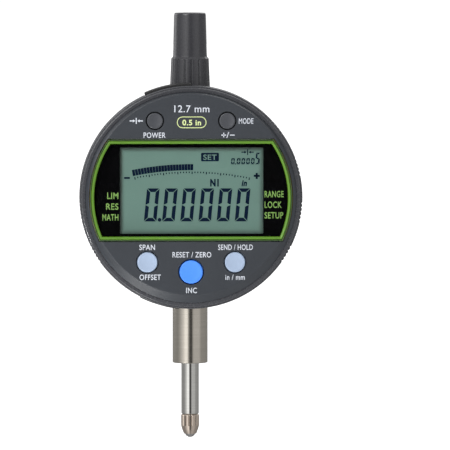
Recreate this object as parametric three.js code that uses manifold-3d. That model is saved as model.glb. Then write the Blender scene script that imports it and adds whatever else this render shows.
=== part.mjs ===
// Digital dial indicator with a 12.7 mm (half inch) travel and a turning round display.
// Millimetres. The origin is on the spindle axis, half way along the clamping length of the stem.
// +Z runs up the spindle, +X is to the right, and the display faces -Y.
import * as THREE from "three";
import { mergeVertices } from "three/addons/utils/BufferGeometryUtils.js";
import Module from "manifold-3d";

const wasm = await Module();
wasm.setup();

// ---- Driving dimensions ----
const STEM_RADIUS = 9.525 / 2; // 3/8 inch stem
const STEM_BOTTOM = -7.5;
const SPINDLE_RADIUS = 2.38; // 3/16 inch spindle
const RUNNING_GAP = 0.06; // radial clearance of the spindle in its bushings
const FIT_GAP = 0.05; // radial clearance of pieces that are fixed together

const FACE_Z = 38.2; // height of the display's centre
const BODY_RADIUS = 30; // rim of the display
const HOUSING_RADIUS = 27.2;
const HOUSING_WALL = 2;
const HOUSING_FRONT = -6.6;
const HOUSING_BACK = 6.5;
const BACK_FACE = 8.6; // outer face of the flat back
const BACK_PLATE = 1.6;
const COVER_SCREW_CIRCLE = 22.5;

const HUB_RADIUS = 8.8; // the display turns on this hub
const HUB_END = -10;
const HUB_BORE = 6.6;

const CASE_BACK = -6.9;
const CASE_REAR_WALL = 1;
const CASE_FRONT = -15.8;
const CASE_WALL = 1.6;
const LIP_RADIUS = 29.45; // the rim steps in to this behind its front edge
const LIP_DEPTH = 0.9;
const FACE_FRONT = -17.6;
const FACE_RADIUS = 26.9; // flat front face
const FACE_OFFSET = 0.95; // the flat face sits this much above the display's centre
const DISPLAY_SCREW_CIRCLE = 26;
const DISPLAY_SCREW_ANGLES = [28, 152, 208, 332];
const GRIP_ANGLES = [39.2, 15.9, -7.4, -30.7, 140.8, 164.1, 187.4, 210.7];
const GRIP_GROOVES = 5;
const GRIP_SPAN = 8.4; // degrees from the first to the last groove
const TURN_LIMIT = 165; // the display turns this far each way
const STOP_GROOVE_DEPTH = 0.95;

const WINDOW_RADIUS = 27.3; // outer edge of the coloured frame
const WINDOW_TOP = 15.6;
const WINDOW_BOTTOM = -11.7;
const WINDOW_BAND = 1.3;
const WINDOW_FRAME_PROUD = 0.2;
const LCD_CENTRE = 1.9; // above the display's centre
const LCD_VIEW = [38.8, 23.2];
const LCD_GLASS = [41.6, 27];
const BOARD_FRONT = -12.5;
const BOARD_RADIUS = 26.4;
const CHASSIS_RADIUS = 28.1; // also the membrane's
const CHASSIS_BACK = -13.5;
const CHASSIS_PLATE = 0.55;
const LCD_BACK = -14.1;
const LCD_THICKNESS = 1.55;
const MEMBRANE_BACK = -14.1;
const MEMBRANE_FRONT = -14.4;
const MASK_BACK = -15.9;
const MASK_THICKNESS = 0.3;
const LENS_BACK = -16.25;
const LENS_THICKNESS = 0.95;

const BUTTONS = [
  { name: "power_button", x: -9.7, z: 20.7, radius: 2.15, hole: 2.4, proud: 0.1, colour: 0x66676b },
  { name: "menu_button", x: 9.7, z: 20.7, radius: 2.15, hole: 2.4, proud: 0.1, colour: 0x66676b },
  { name: "preset_button", x: -11.76, z: -17.26, radius: 2.7, hole: 2.97, proud: 0.35, colour: 0xbdd0f0 },
  { name: "zero_button", x: 0, z: -19.87, radius: 3.12, hole: 3.37, proud: 0.4, colour: 0x5a9cff },
  { name: "hold_button", x: 11.76, z: -17.26, radius: 2.7, hole: 2.97, proud: 0.35, colour: 0xbdd0f0 },
];
const BUTTON_FLANGE = 0.45; // how far the flange reaches past the button's side

const TRAY_ANGLE = 102; // the battery tray opens through the rim at the top left
const TRAY_HALF_WIDTH = 6.45;
const TRAY_BACK = -8;
const TRAY_FRONT = -13.4;
const BATTERY_RADIUS = 5.8;
const BATTERY_CENTRE = 22.4; // from the display's centre
const TRAY_FACE_RADIUS = 30.65; // the tray's outer face stands a little proud of the rim
const TRAY_FACE_HALF_ANGLE = 12.2; // degrees
const TRAY_FACE_BACK = -7.35;
const TRAY_FACE_DEPTH = 6.7;
const PORT_ANGLE = 253.5; // data output at the lower left of the rim
const PORT_HALF_WIDTH = 5.6;
const PORT_FACE_RADIUS = 30.3;
const PORT_FACE_HALF_ANGLE = 10.6; // degrees
const PORT_FACE_BACK = -7.85;
const PORT_FACE_DEPTH = 5.35;
const PLUG_INNER_RADIUS = 28.5; // inner face of both pieces that close the rim

const COLLAR_RADIUS = 3.9; // threaded collar under the dust cap
const CAP_BOTTOM = 66.3;
const CAP_SHOULDER = 75;
const CAP_TOP = 87.4;
const CAP_GROOVES = 16;
const CAP_GROOVE_RADIUS = 0.45;
const CAP_GROOVE_DEPTH = 0.18;
const CAP_GROOVE_PHASE = 5.2; // degrees from the first groove to the front
const CAP_CIRCLE = 32; // segments

const SPINDLE_BOTTOM = -21.3;
const SPINDLE_TOP = 72.5;
const CARRIER_BOTTOM = 14.8;
const CARRIER_TOP = 26;
const CONTACT_TIP = -27.7;
const CONTACT_BALL_RADIUS = 1.5;
const CONTACT_FLUTES = 18;

const RIM_CIRCLE = 60; // segments
const LARGE_CIRCLE = 40;
const MEDIUM_CIRCLE = 24;
const SMALL_CIRCLE = 12;
const TINY_CIRCLE = 8;

// ---- Materials ----
const finish = (color, roughness, metalness = 0) => ({ color, roughness, metalness });
const DARK_PLASTIC = finish(0x4c4f55, 0.55);
const CAP_PLASTIC = finish(0x434247, 0.5);
const BLACK_PLASTIC = finish(0x101012, 0.5);
const DARK_ALLOY = finish(0x55585c, 0.5, 0.6);
const GROUND_STEEL = finish(0xa8a49c, 0.3, 1);
const POLISHED_STEEL = finish(0xc4c4c2, 0.15, 1);
const NICKEL = finish(0xa89f94, 0.25, 1);
const BRONZE = finish(0x9a7440, 0.4, 1);
const CARBIDE = finish(0x8c8c8e, 0.15, 1);
const RUBBER = finish(0x1b1b1c, 0.9);
const GREEN = finish(0x6ea53c, 0.35);
const CIRCUIT = finish(0x1f5a36, 0.5);
const CLEAR = finish(0xdfe6e6, 0.05);
const LCD_GREY = finish(0x708f84, 0.3);
const SPRING_STEEL = finish(0x9c9c9e, 0.3, 1);
const AMBER_FILM = finish(0xa86a24, 0.4);
const WHITE_PLASTIC = finish(0xe2e2de, 0.6);

// ---- Shape helpers ----
const radians = (degrees) => (degrees * Math.PI) / 180;

// A closed geometry as a manifold-3d solid with its faces turned outward.
function solid(geometry) {
  const bare = geometry.clone();
  bare.deleteAttribute("normal");
  bare.deleteAttribute("uv");
  const merged = mergeVertices(bare, 1e-4);
  const vertProperties = merged.attributes.position.array;
  const triVerts = new Uint32Array(merged.index.array);
  const build = () => new wasm.Manifold(new wasm.Mesh({ numProp: 3, vertProperties, triVerts }));
  const made = build();
  if (made.volume() >= 0) return made;
  for (let i = 0; i < triVerts.length; i += 3) {
    [triVerts[i + 1], triVerts[i + 2]] = [triVerts[i + 2], triVerts[i + 1]];
  }
  return build();
}

const cut = (base, tools) => tools.reduce((rest, tool) => rest.subtract(solid(tool)), base);
const join = (base, others) => others.reduce((sum, other) => sum.add(solid(other)), base);

function geometryOf(made) {
  const mesh = made.getMesh();
  const geometry = new THREE.BufferGeometry();
  geometry.setAttribute("position", new THREE.BufferAttribute(mesh.vertProperties, 3));
  geometry.setIndex(new THREE.BufferAttribute(mesh.triVerts, 1));
  geometry.computeVertexNormals();
  return geometry;
}

function piece(name, made, look) {
  const mesh = new THREE.Mesh(geometryOf(made), new THREE.MeshStandardMaterial(look));
  mesh.name = name;
  return mesh;
}

// Turned about the Y axis from [radius, y] points.
function turnedY(profile, segments) {
  return new THREE.LatheGeometry(
    profile.map(([radius, y]) => new THREE.Vector2(radius, y)),
    segments,
  );
}

// Turned about the spindle axis from [radius, z] points.
const turnedZ = (profile, segments) => turnedY(profile, segments).rotateX(Math.PI / 2);

// Turned about the display's axis from [radius, y] points.
const turnedFace = (profile, segments) => turnedY(profile, segments).translate(0, 0, FACE_Z);

// A ring of rectangular section, given as a closed profile.
const ring = (inner, outer, low, high) => [
  [inner, low],
  [outer, low],
  [outer, high],
  [inner, high],
  [inner, low],
];

function box(x0, x1, y0, y1, z0, z1) {
  return new THREE.BoxGeometry(x1 - x0, y1 - y0, z1 - z0).translate(
    (x0 + x1) / 2,
    (y0 + y1) / 2,
    (z0 + z1) / 2,
  );
}

// A box on the rim: r0 to r1 from the display's centre at an angle, halfWidth to each side.
function radialBox(angle, r0, r1, halfWidth, y0, y1) {
  return new THREE.BoxGeometry(r1 - r0, y1 - y0, 2 * halfWidth)
    .translate((r0 + r1) / 2, (y0 + y1) / 2, 0)
    .rotateY(-radians(angle))
    .translate(0, 0, FACE_Z);
}

// A rod along Y at a place on the face, from y0 to y1.
function rodY(x, z, radius, y0, y1, segments = SMALL_CIRCLE) {
  return new THREE.CylinderGeometry(radius, radius, y1 - y0, segments).translate(
    x,
    (y0 + y1) / 2,
    FACE_Z + z,
  );
}

// A rod along Z on the spindle axis.
function rodZ(radius, z0, z1, segments = MEDIUM_CIRCLE) {
  return new THREE.CylinderGeometry(radius, radius, z1 - z0, segments)
    .rotateX(Math.PI / 2)
    .translate(0, 0, (z0 + z1) / 2);
}

// A flat outline on the face, extruded forwards from yBack.
function faceplate(shape, yBack, depth, options = {}) {
  return new THREE.ExtrudeGeometry(shape, { depth, bevelEnabled: false, curveSegments: 14, ...options })
    .rotateX(Math.PI / 2)
    .translate(0, yBack, FACE_Z);
}

function rectangle(width, height, centreZ) {
  const shape = new THREE.Shape();
  shape.moveTo(-width / 2, centreZ - height / 2);
  shape.lineTo(width / 2, centreZ - height / 2);
  shape.lineTo(width / 2, centreZ + height / 2);
  shape.lineTo(-width / 2, centreZ + height / 2);
  shape.closePath();
  return shape;
}

// The window's outline: flat top and bottom, with sides that follow the display's rim.
function windowOutline(inset) {
  const radius = WINDOW_RADIUS - inset;
  const topAngle = Math.asin((WINDOW_TOP - inset) / radius);
  const bottomAngle = Math.asin((WINDOW_BOTTOM + inset) / radius);
  const steps = 14;
  const side = (from, to) =>
    Array.from({ length: steps + 1 }, (_, i) => {
      const angle = from + ((to - from) * i) / steps;
      return new THREE.Vector2(radius * Math.cos(angle), radius * Math.sin(angle));
    });
  return new THREE.Shape([
    ...side(bottomAngle, topAngle),
    ...side(Math.PI - topAngle, Math.PI - bottomAngle),
  ]);
}

function polar(radius, angle) {
  return [radius * Math.cos(radians(angle)), radius * Math.sin(radians(angle))];
}

// ---- Body that is held by the stem ----
const COVER_SCREW_PLACES = [45, 135, 225, 315].map((angle) => polar(COVER_SCREW_CIRCLE, angle));

function mainHousing() {
  const inner = HOUSING_RADIUS - HOUSING_WALL;
  const wallBack = HOUSING_FRONT + 1.6;
  const shell = turnedFace(
    [
      [HUB_BORE, HUB_END],
      [HUB_RADIUS - 0.2, HUB_END],
      [HUB_RADIUS, HUB_END + 0.2],
      [HUB_RADIUS, HOUSING_FRONT],
      [HOUSING_RADIUS - 0.7, HOUSING_FRONT],
      [HOUSING_RADIUS, HOUSING_FRONT + 0.7],
      [HOUSING_RADIUS, HOUSING_BACK],
      [inner, HOUSING_BACK],
      [inner, wallBack],
      [HUB_BORE, wallBack],
      [HUB_BORE, HUB_END],
    ],
    LARGE_CIRCLE,
  );
  const stemBoss = rodZ(6.5, 9.2, 13.6);
  const collarBoss = rodZ(5.9, FACE_Z + 24, FACE_Z + 27.8);
  const posts = COVER_SCREW_PLACES.map(([x, z]) => rodY(x, z, 2.3, wallBack - 0.4, HOUSING_BACK));
  const stopPin = rodY(0, -13, 0.6, HOUSING_FRONT - 0.9, HOUSING_FRONT + 0.4, TINY_CIRCLE);
  const pilotHoles = COVER_SCREW_PLACES.map(([x, z]) => rodY(x, z, 0.95, 0.5, 7, TINY_CIRCLE));
  return cut(join(solid(shell), [stemBoss, collarBoss, ...posts, stopPin]), [
    rodZ(STEM_RADIUS + FIT_GAP, 0, 20),
    rodZ(COLLAR_RADIUS + FIT_GAP, FACE_Z + 20, FACE_Z + 30),
    ...pilotHoles,
  ]);
}

function backCover() {
  const plate = turnedFace(
    [
      [0, BACK_FACE - BACK_PLATE],
      [HOUSING_RADIUS, BACK_FACE - BACK_PLATE],
      [HOUSING_RADIUS, BACK_FACE - 0.5],
      [HOUSING_RADIUS - 0.5, BACK_FACE],
      [0, BACK_FACE],
    ],
    LARGE_CIRCLE,
  );
  const holes = COVER_SCREW_PLACES.map(([x, z]) => rodY(x, z, 1.25, 6, 9));
  const counterbores = COVER_SCREW_PLACES.map(([x, z]) => rodY(x, z, 2.2, BACK_FACE - 0.9, 9));
  return cut(solid(plate), [...holes, ...counterbores]);
}

// A cross-head screw along Y. Its head lies at headY, and the shank goes towards tipY.
function crossScrew(x, z, headRadius, shankRadius, headY, headHeight, tipY) {
  const towards = Math.sign(tipY - headY);
  const headInner = headY + towards * headHeight;
  const span = (a, b) => [Math.min(a, b), Math.max(a, b)];
  const head = rodY(x, z, headRadius, ...span(headY, headInner));
  const shank = rodY(x, z, shankRadius, ...span(headInner - towards * 0.1, tipY), TINY_CIRCLE);
  const slotDepth = span(headY - towards, headY + towards * headHeight * 0.6);
  const long = headRadius * 0.62;
  const slots = [
    box(x - long, x + long, ...slotDepth, FACE_Z + z - 0.18, FACE_Z + z + 0.18),
    box(x - 0.18, x + 0.18, ...slotDepth, FACE_Z + z - long, FACE_Z + z + long),
  ];
  return cut(join(solid(head), [shank]), slots);
}

function stem() {
  return solid(
    turnedZ(
      [
        [3.3, STEM_BOTTOM],
        [STEM_RADIUS - 0.35, STEM_BOTTOM],
        [STEM_RADIUS, STEM_BOTTOM + 0.35],
        [STEM_RADIUS, 13],
        [3.3, 13],
        [3.3, STEM_BOTTOM],
      ],
      MEDIUM_CIRCLE,
    ),
  );
}

const bushing = (outer, z0, z1) =>
  solid(turnedZ(ring(SPINDLE_RADIUS + RUNNING_GAP, outer, z0, z1), MEDIUM_CIRCLE));

const topCollar = () => solid(turnedZ(ring(3.1, COLLAR_RADIUS, FACE_Z + 23.8, 72), MEDIUM_CIRCLE));

function guideRail() {
  const block = box(7.2, 11.8, -4.9, 4.6, 17, 41);
  const slot = box(7, 10.9, -1, 1, 20.2, 35.4);
  const holes = [18.5, 38.6].map((z) => rodY(9.5, z - FACE_Z, 0.9, -3, 5, TINY_CIRCLE));
  return cut(solid(block), [slot, ...holes]);
}

class Helix extends THREE.Curve {
  constructor(radius, z0, z1, turns) {
    super();
    Object.assign(this, { radius, z0, z1, turns });
  }
  getPoint(t, target = new THREE.Vector3()) {
    const angle = 2 * Math.PI * this.turns * t;
    return target.set(
      this.radius * Math.cos(angle),
      this.radius * Math.sin(angle),
      this.z0 + (this.z1 - this.z0) * t,
    );
  }
}

function measuringSpring() {
  const wire = new THREE.Shape().absarc(0, 0, 0.22, 0, 2 * Math.PI);
  const turns = 8;
  const path = new Helix(2.95, CARRIER_TOP + 0.3, FACE_Z + 23.5, turns);
  const options = { steps: turns * 9, extrudePath: path, curveSegments: 3 };
  return solid(new THREE.ExtrudeGeometry(wire, options));
}

// A flat ribbon wound in a spiral, seen along the display's axis.
function flexCoil() {
  const turns = 2.5;
  const steps = 40;
  const thickness = 0.2;
  const side = (offset) =>
    Array.from({ length: steps + 1 }, (_, i) => {
      const t = i / steps;
      const radius = 2.4 + 3.4 * t + offset;
      const angle = 2 * Math.PI * turns * t;
      return new THREE.Vector2(radius * Math.cos(angle), radius * Math.sin(angle));
    });
  const outline = [...side(thickness / 2), ...side(-thickness / 2).reverse()];
  return solid(faceplate(new THREE.Shape(outline), -5.4, 5.4));
}

function retainingRing() {
  const body = turnedFace(ring(HUB_RADIUS + FIT_GAP, 11.3, -9.4, -8.4), LARGE_CIRCLE);
  const spannerHoles = [-10.1, 10.1].map((x) => rodY(x, 0, 0.5, -10, -8, TINY_CIRCLE));
  return cut(solid(body), spannerHoles);
}

function fixedBody() {
  const group = new THREE.Group();
  group.add(
    piece("main_housing", mainHousing(), DARK_ALLOY),
    piece("back_cover", backCover(), DARK_ALLOY),
    piece("back_gasket", solid(turnedFace(ring(25.5, 26.9, 6.54, 6.96), LARGE_CIRCLE)), RUBBER),
    piece("stem", stem(), GROUND_STEEL),
    piece("stem_bushing", bushing(3.25, STEM_BOTTOM + 0.4, -1), BRONZE),
    piece("stem_bumper", solid(turnedZ(ring(2.7, 4.6, 13.1, 14.5), MEDIUM_CIRCLE)), RUBBER),
    piece("top_collar", topCollar(), GROUND_STEEL),
    piece("top_bushing", bushing(3.05, FACE_Z + 24.2, 71.6), BRONZE),
    piece("guide_rail", guideRail(), BRONZE),
    piece("detector_board", solid(box(-7, 6.8, -4.9, -4.4, 26, 50)), CIRCUIT),
    piece("signal_board", solid(box(-20, -7.5, 3.2, 4, 26, 50)), CIRCUIT),
    piece("measuring_spring", measuringSpring(), SPRING_STEEL),
    piece("retaining_ring", retainingRing(), GROUND_STEEL),
    piece(
      "friction_washer",
      solid(turnedFace(ring(HUB_RADIUS + 0.3, 11.2, -8.36, -7.98), LARGE_CIRCLE)),
      WHITE_PLASTIC,
    ),
    piece("flex_coil", flexCoil(), AMBER_FILM),
  );
  COVER_SCREW_PLACES.forEach(([x, z], i) => {
    const screw = crossScrew(x, z, 2, 0.85, BACK_FACE - 0.05, 0.8, 1.5);
    group.add(piece(`back_cover_screw_${i + 1}`, screw, POLISHED_STEEL));
  });
  [18.5, 38.6].forEach((z, i) => {
    const screw = crossScrew(9.5, z - FACE_Z, 1.4, 0.75, 5.5, 0.8, -2.5);
    group.add(piece(`guide_rail_screw_${i + 1}`, screw, POLISHED_STEEL));
  });
  return group;
}

// ---- Spindle and what rises with it ----
function spindle() {
  return solid(
    turnedZ(
      [
        [0, SPINDLE_BOTTOM + 5],
        [1.25, SPINDLE_BOTTOM + 5],
        [1.25, SPINDLE_BOTTOM],
        [SPINDLE_RADIUS - 0.35, SPINDLE_BOTTOM],
        [SPINDLE_RADIUS, SPINDLE_BOTTOM + 0.35],
        [SPINDLE_RADIUS, SPINDLE_TOP - 0.3],
        [SPINDLE_RADIUS - 0.3, SPINDLE_TOP],
        [1.05, SPINDLE_TOP],
        [1.05, SPINDLE_TOP - 4],
        [0, SPINDLE_TOP - 4],
      ],
      MEDIUM_CIRCLE,
    ),
  );
}

function contactPoint() {
  const top = SPINDLE_BOTTOM - 0.05;
  const ballCentre = CONTACT_TIP + CONTACT_BALL_RADIUS;
  const blank = turnedZ(
    [
      [0, top + 4.3],
      [1.2, top + 4.3],
      [1.2, top],
      [2.1, top],
      [2.46, top - 0.4],
      [2.46, -24.35],
      [2.38, -24.5],
      [1.78, -26.6],
      [0, -26.6],
    ],
    MEDIUM_CIRCLE,
  );
  const seat = new THREE.SphereGeometry(CONTACT_BALL_RADIUS + 2 * FIT_GAP, SMALL_CIRCLE, 10);
  const flutes = Array.from({ length: CONTACT_FLUTES }, (_, i) =>
    new THREE.BoxGeometry(0.3, 0.3, 2.7)
      .rotateZ(Math.PI / 4)
      .translate(2.52, 0, -23)
      .rotateZ((2 * Math.PI * i) / CONTACT_FLUTES),
  );
  return cut(solid(blank), [seat.rotateX(Math.PI / 2).translate(0, 0, ballCentre), ...flutes]);
}

function contactBall() {
  const ball = new THREE.SphereGeometry(CONTACT_BALL_RADIUS, SMALL_CIRCLE, 10);
  return solid(ball.rotateX(Math.PI / 2).translate(0, 0, CONTACT_TIP + CONTACT_BALL_RADIUS));
}

function scaleCarrier() {
  const block = box(-5.5, 5.5, -3.3, 3.8, CARRIER_BOTTOM, CARRIER_TOP);
  const pinHole = new THREE.CylinderGeometry(0.95, 0.95, 4, TINY_CIRCLE)
    .rotateZ(Math.PI / 2)
    .translate(5, 0, 21.4);
  const screwHole = rodY(0, 17.5 - FACE_Z, 0.85, 2.4, 5, TINY_CIRCLE);
  return cut(solid(block), [rodZ(SPINDLE_RADIUS + FIT_GAP, 10, 30), pinHole, screwHole]);
}

function guidePin() {
  return solid(
    new THREE.CylinderGeometry(0.88, 0.88, 6.9, TINY_CIRCLE)
      .rotateZ(Math.PI / 2)
      .translate(6.95, 0, 21.4),
  );
}

function spindleEndScrew() {
  const head = rodZ(1.85, SPINDLE_TOP + 0.05, SPINDLE_TOP + 0.7, SMALL_CIRCLE);
  const shank = rodZ(0.98, SPINDLE_TOP - 3.5, SPINDLE_TOP + 0.2, TINY_CIRCLE);
  const slot = box(-2, 2, -0.2, 0.2, SPINDLE_TOP + 0.4, SPINDLE_TOP + 1);
  return cut(join(solid(head), [shank]), [slot]);
}

function spindleBody() {
  const group = new THREE.Group();
  group.add(
    piece("spindle", spindle(), POLISHED_STEEL),
    piece("contact_point", contactPoint(), NICKEL),
    piece("contact_ball", contactBall(), CARBIDE),
    piece("scale_carrier", scaleCarrier(), DARK_ALLOY),
    piece("carrier_set_screw", solid(rodY(0, 17.5 - FACE_Z, 0.78, 2.5, 4, TINY_CIRCLE)), POLISHED_STEEL),
    piece("main_scale", solid(box(-4, 4, -4.05, -3.35, 15, 41)), CLEAR),
    piece("guide_pin", guidePin(), POLISHED_STEEL),
    piece("spindle_end_screw", spindleEndScrew(), POLISHED_STEEL),
  );
  return group;
}

// ---- Dust cap ----
function dustCap() {
  const shoulderRadius = 4.63;
  const skirtBottom = 5.45;
  const skirtTop = 5.1;
  const blank = turnedZ(
    [
      [COLLAR_RADIUS + FIT_GAP, CAP_BOTTOM],
      [skirtBottom - 0.2, CAP_BOTTOM],
      [skirtBottom, CAP_BOTTOM + 0.2],
      [skirtTop, CAP_SHOULDER],
      [shoulderRadius, CAP_SHOULDER + 0.55],
      [4.58, CAP_SHOULDER + 1],
      [4.29, CAP_TOP - 0.5],
      [4.15, CAP_TOP - 0.15],
      [3.95, CAP_TOP],
      [3.75, CAP_TOP],
      [3.5, CAP_TOP - 0.5],
      [0, CAP_TOP - 0.5],
      [0, CAP_TOP - 1.2],
      [3.1, CAP_TOP - 1.2],
      [3.1, 72.3],
      [COLLAR_RADIUS + FIT_GAP, 72.3],
      [COLLAR_RADIUS + FIT_GAP, CAP_BOTTOM],
    ],
    CAP_CIRCLE,
  );
  const height = CAP_SHOULDER - CAP_BOTTOM;
  const lean = Math.atan((skirtBottom - skirtTop) / height);
  const middle = (CAP_SHOULDER + CAP_BOTTOM) / 2;
  const away = (skirtBottom + skirtTop) / 2 + CAP_GROOVE_RADIUS - CAP_GROOVE_DEPTH;
  const grooves = Array.from({ length: CAP_GROOVES }, (_, i) =>
    new THREE.CylinderGeometry(CAP_GROOVE_RADIUS, CAP_GROOVE_RADIUS, height + 3, TINY_CIRCLE)
      .rotateX(Math.PI / 2)
      .rotateY(-lean)
      .translate(away, 0, middle)
      .rotateZ(radians(CAP_GROOVE_PHASE) + (2 * Math.PI * i) / CAP_GROOVES),
  );
  return cut(solid(blank), grooves);
}

// ---- Turning display ----
const DISPLAY_SCREW_PLACES = DISPLAY_SCREW_ANGLES.map((a) => polar(DISPLAY_SCREW_CIRCLE, a));

// Part of a flat ring about the display's axis, centred on a direction.
function ringSector(inner, outer, centreAngle, halfAngle) {
  const start = radians(centreAngle - halfAngle);
  const end = radians(centreAngle + halfAngle);
  const shape = new THREE.Shape();
  shape.moveTo(inner * Math.cos(start), inner * Math.sin(start));
  shape.lineTo(outer * Math.cos(start), outer * Math.sin(start));
  shape.absarc(0, 0, outer, start, end, false);
  shape.lineTo(inner * Math.cos(end), inner * Math.sin(end));
  shape.absarc(0, 0, inner, end, start, true);
  return shape;
}

function gripGrooves() {
  const step = GRIP_SPAN / (GRIP_GROOVES - 1);
  return GRIP_ANGLES.flatMap((centre) =>
    Array.from({ length: GRIP_GROOVES }, (_, i) =>
      new THREE.BoxGeometry(0.4, 6.8, 0.4)
        .rotateY(Math.PI / 4)
        .translate(BODY_RADIUS + 0.02, -11.8, 0)
        .rotateY(-radians(centre + (i - (GRIP_GROOVES - 1) / 2) * step))
        .translate(0, 0, FACE_Z),
    ),
  );
}

function displayCase() {
  const inner = BODY_RADIUS - CASE_WALL;
  const hubHole = HUB_RADIUS + 0.15;
  const wallFront = CASE_BACK - CASE_REAR_WALL;
  const shell = turnedFace(
    [
      [hubHole, CASE_BACK],
      [BODY_RADIUS - 0.9, CASE_BACK],
      [BODY_RADIUS, CASE_BACK - 0.8],
      [BODY_RADIUS, CASE_FRONT + LIP_DEPTH + 0.25],
      [BODY_RADIUS - 0.2, CASE_FRONT + LIP_DEPTH],
      [LIP_RADIUS, CASE_FRONT + LIP_DEPTH],
      [LIP_RADIUS, CASE_FRONT + 0.25],
      [LIP_RADIUS - 0.25, CASE_FRONT],
      [inner, CASE_FRONT],
      [inner, wallFront],
      [hubHole, wallFront],
      [hubHole, CASE_BACK],
    ],
    RIM_CIRCLE,
  );
  const screwHoles = DISPLAY_SCREW_PLACES.flatMap(([x, z]) => [
    rodY(x, z, 0.9, CASE_BACK - 2, CASE_BACK + 1, TINY_CIRCLE),
    rodY(x, z, 1.75, CASE_BACK - 0.65, CASE_BACK + 1),
  ]);
  const stopArc = ringSector(12.1, 13.9, 270, TURN_LIMIT + 4);
  const stopGroove = faceplate(stopArc, CASE_BACK + 0.2, STOP_GROOVE_DEPTH, { curveSegments: 40 });
  return cut(solid(shell), [
    radialBox(TRAY_ANGLE, 24, 34, TRAY_HALF_WIDTH + 0.15, -14.15, -7.25),
    radialBox(PORT_ANGLE, 24, 34, PORT_HALF_WIDTH + 0.1, -13.3, -7.75),
    stopGroove,
    ...screwHoles,
    ...gripGrooves(),
  ]);
}

// The front cover: a raised disc whose bevelled edge leans, because the flat face is off centre.
function frontBezel() {
  const base = CASE_FRONT - 0.15;
  const blank = turnedFace(
    [
      [0, CASE_FRONT],
      [28.35, CASE_FRONT],
      [28.35, base],
      [FACE_RADIUS + 0.2, FACE_FRONT + 0.15],
      [FACE_RADIUS, FACE_FRONT],
      [0, FACE_FRONT],
    ],
    RIM_CIRCLE,
  );
  const position = blank.getAttribute("position");
  for (let i = 0; i < position.count; i++) {
    const rise = THREE.MathUtils.clamp((base - position.getY(i)) / (base - FACE_FRONT), 0, 1);
    position.setZ(i, position.getZ(i) + FACE_OFFSET * rise);
  }
  const spigot = turnedFace(ring(27.3, 28.25, CASE_FRONT - 0.1, CASE_FRONT + 1.2), LARGE_CIRCLE);
  const bosses = DISPLAY_SCREW_PLACES.map(([x, z]) => rodY(x, z, 1.3, CASE_FRONT - 0.1, -8));
  const pilotHoles = DISPLAY_SCREW_PLACES.map(([x, z]) => rodY(x, z, 0.8, -13, -7, TINY_CIRCLE));
  const buttonHoles = BUTTONS.map((b) => rodY(b.x, b.z, b.hole, -19, -15, MEDIUM_CIRCLE));
  const opening = faceplate(windowOutline(-FIT_GAP), -15, 4);
  return cut(join(solid(blank), [spigot, ...bosses]), [opening, ...buttonHoles, ...pilotHoles]);
}

// The coloured frame: a bead with a sloping edge on each side of its ridge.
function windowFrame() {
  const slope = 0.45;
  const shape = windowOutline(0);
  shape.holes.push(windowOutline(WINDOW_BAND));
  const front = FACE_FRONT - WINDOW_FRAME_PROUD;
  const back = CASE_FRONT - 0.05;
  return solid(
    faceplate(shape, back - slope, back - front - 2 * slope, {
      bevelEnabled: true,
      bevelThickness: slope,
      bevelSize: slope,
      bevelOffset: -slope,
      bevelSegments: 1,
    }),
  );
}

function windowMask() {
  const shape = windowOutline(WINDOW_BAND + FIT_GAP);
  shape.holes.push(rectangle(LCD_VIEW[0], LCD_VIEW[1], LCD_CENTRE));
  return solid(faceplate(shape, MASK_BACK, MASK_THICKNESS));
}

const windowLens = () =>
  solid(faceplate(windowOutline(WINDOW_BAND + FIT_GAP), LENS_BACK, LENS_THICKNESS));

const lcdPanel = () => {
  const [width, height] = LCD_GLASS;
  return solid(faceplate(rectangle(width, height, LCD_CENTRE), LCD_BACK, LCD_THICKNESS));
};

// A round plate with a walled pocket for the LCD glass, cleared for the bosses.
function displayChassis() {
  const plate = rodY(0, 0, CHASSIS_RADIUS, CHASSIS_BACK - CHASSIS_PLATE, CHASSIS_BACK, LARGE_CIRCLE);
  const [width, height] = LCD_GLASS;
  const walls = faceplate(rectangle(width + 1, height + 1, LCD_CENTRE), CHASSIS_BACK, 2.2);
  const pocket = faceplate(rectangle(width + 0.2, height + 0.2, LCD_CENTRE), -14.05, 4);
  const opening = faceplate(rectangle(width - 2.4, height - 2, LCD_CENTRE), -12, 4);
  return cut(join(solid(plate), [walls]), [pocket, opening, ...bossClearances()]);
}

const bossClearances = () => DISPLAY_SCREW_PLACES.map(([x, z]) => rodY(x, z, 1.6, -16, -10, TINY_CIRCLE));

function keypadMembrane() {
  const sheet = rodY(0, 0, CHASSIS_RADIUS, MEMBRANE_FRONT, MEMBRANE_BACK, LARGE_CIRCLE);
  const [width, height] = LCD_GLASS;
  const opening = faceplate(rectangle(width + 1.4, height + 1.4, LCD_CENTRE), -13, 3);
  return cut(solid(sheet), [opening, ...bossClearances()]);
}

function displayBoard() {
  const board = rodY(0, 0, BOARD_RADIUS, BOARD_FRONT, BOARD_FRONT + 0.8, LARGE_CIRCLE);
  const trayNotch = radialBox(TRAY_ANGLE, 15.3, 30, TRAY_HALF_WIDTH + 0.5, -13, -11);
  return cut(solid(board), [trayNotch, ...bossClearances()]);
}

function lcdConnector() {
  const low = LCD_CENTRE - LCD_GLASS[1] / 2 + 1.2;
  return solid(box(-18, 18, -14.04, BOARD_FRONT - 0.04, FACE_Z + low, FACE_Z + low + 1.1));
}

function dataSocket() {
  const block = radialBox(PORT_ANGLE, 23.6, 27.6, 5.3, -11.4, -8.1);
  return cut(solid(block), [radialBox(PORT_ANGLE, 25.4, 29, 4.4, -10.9, -8.6)]);
}

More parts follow.
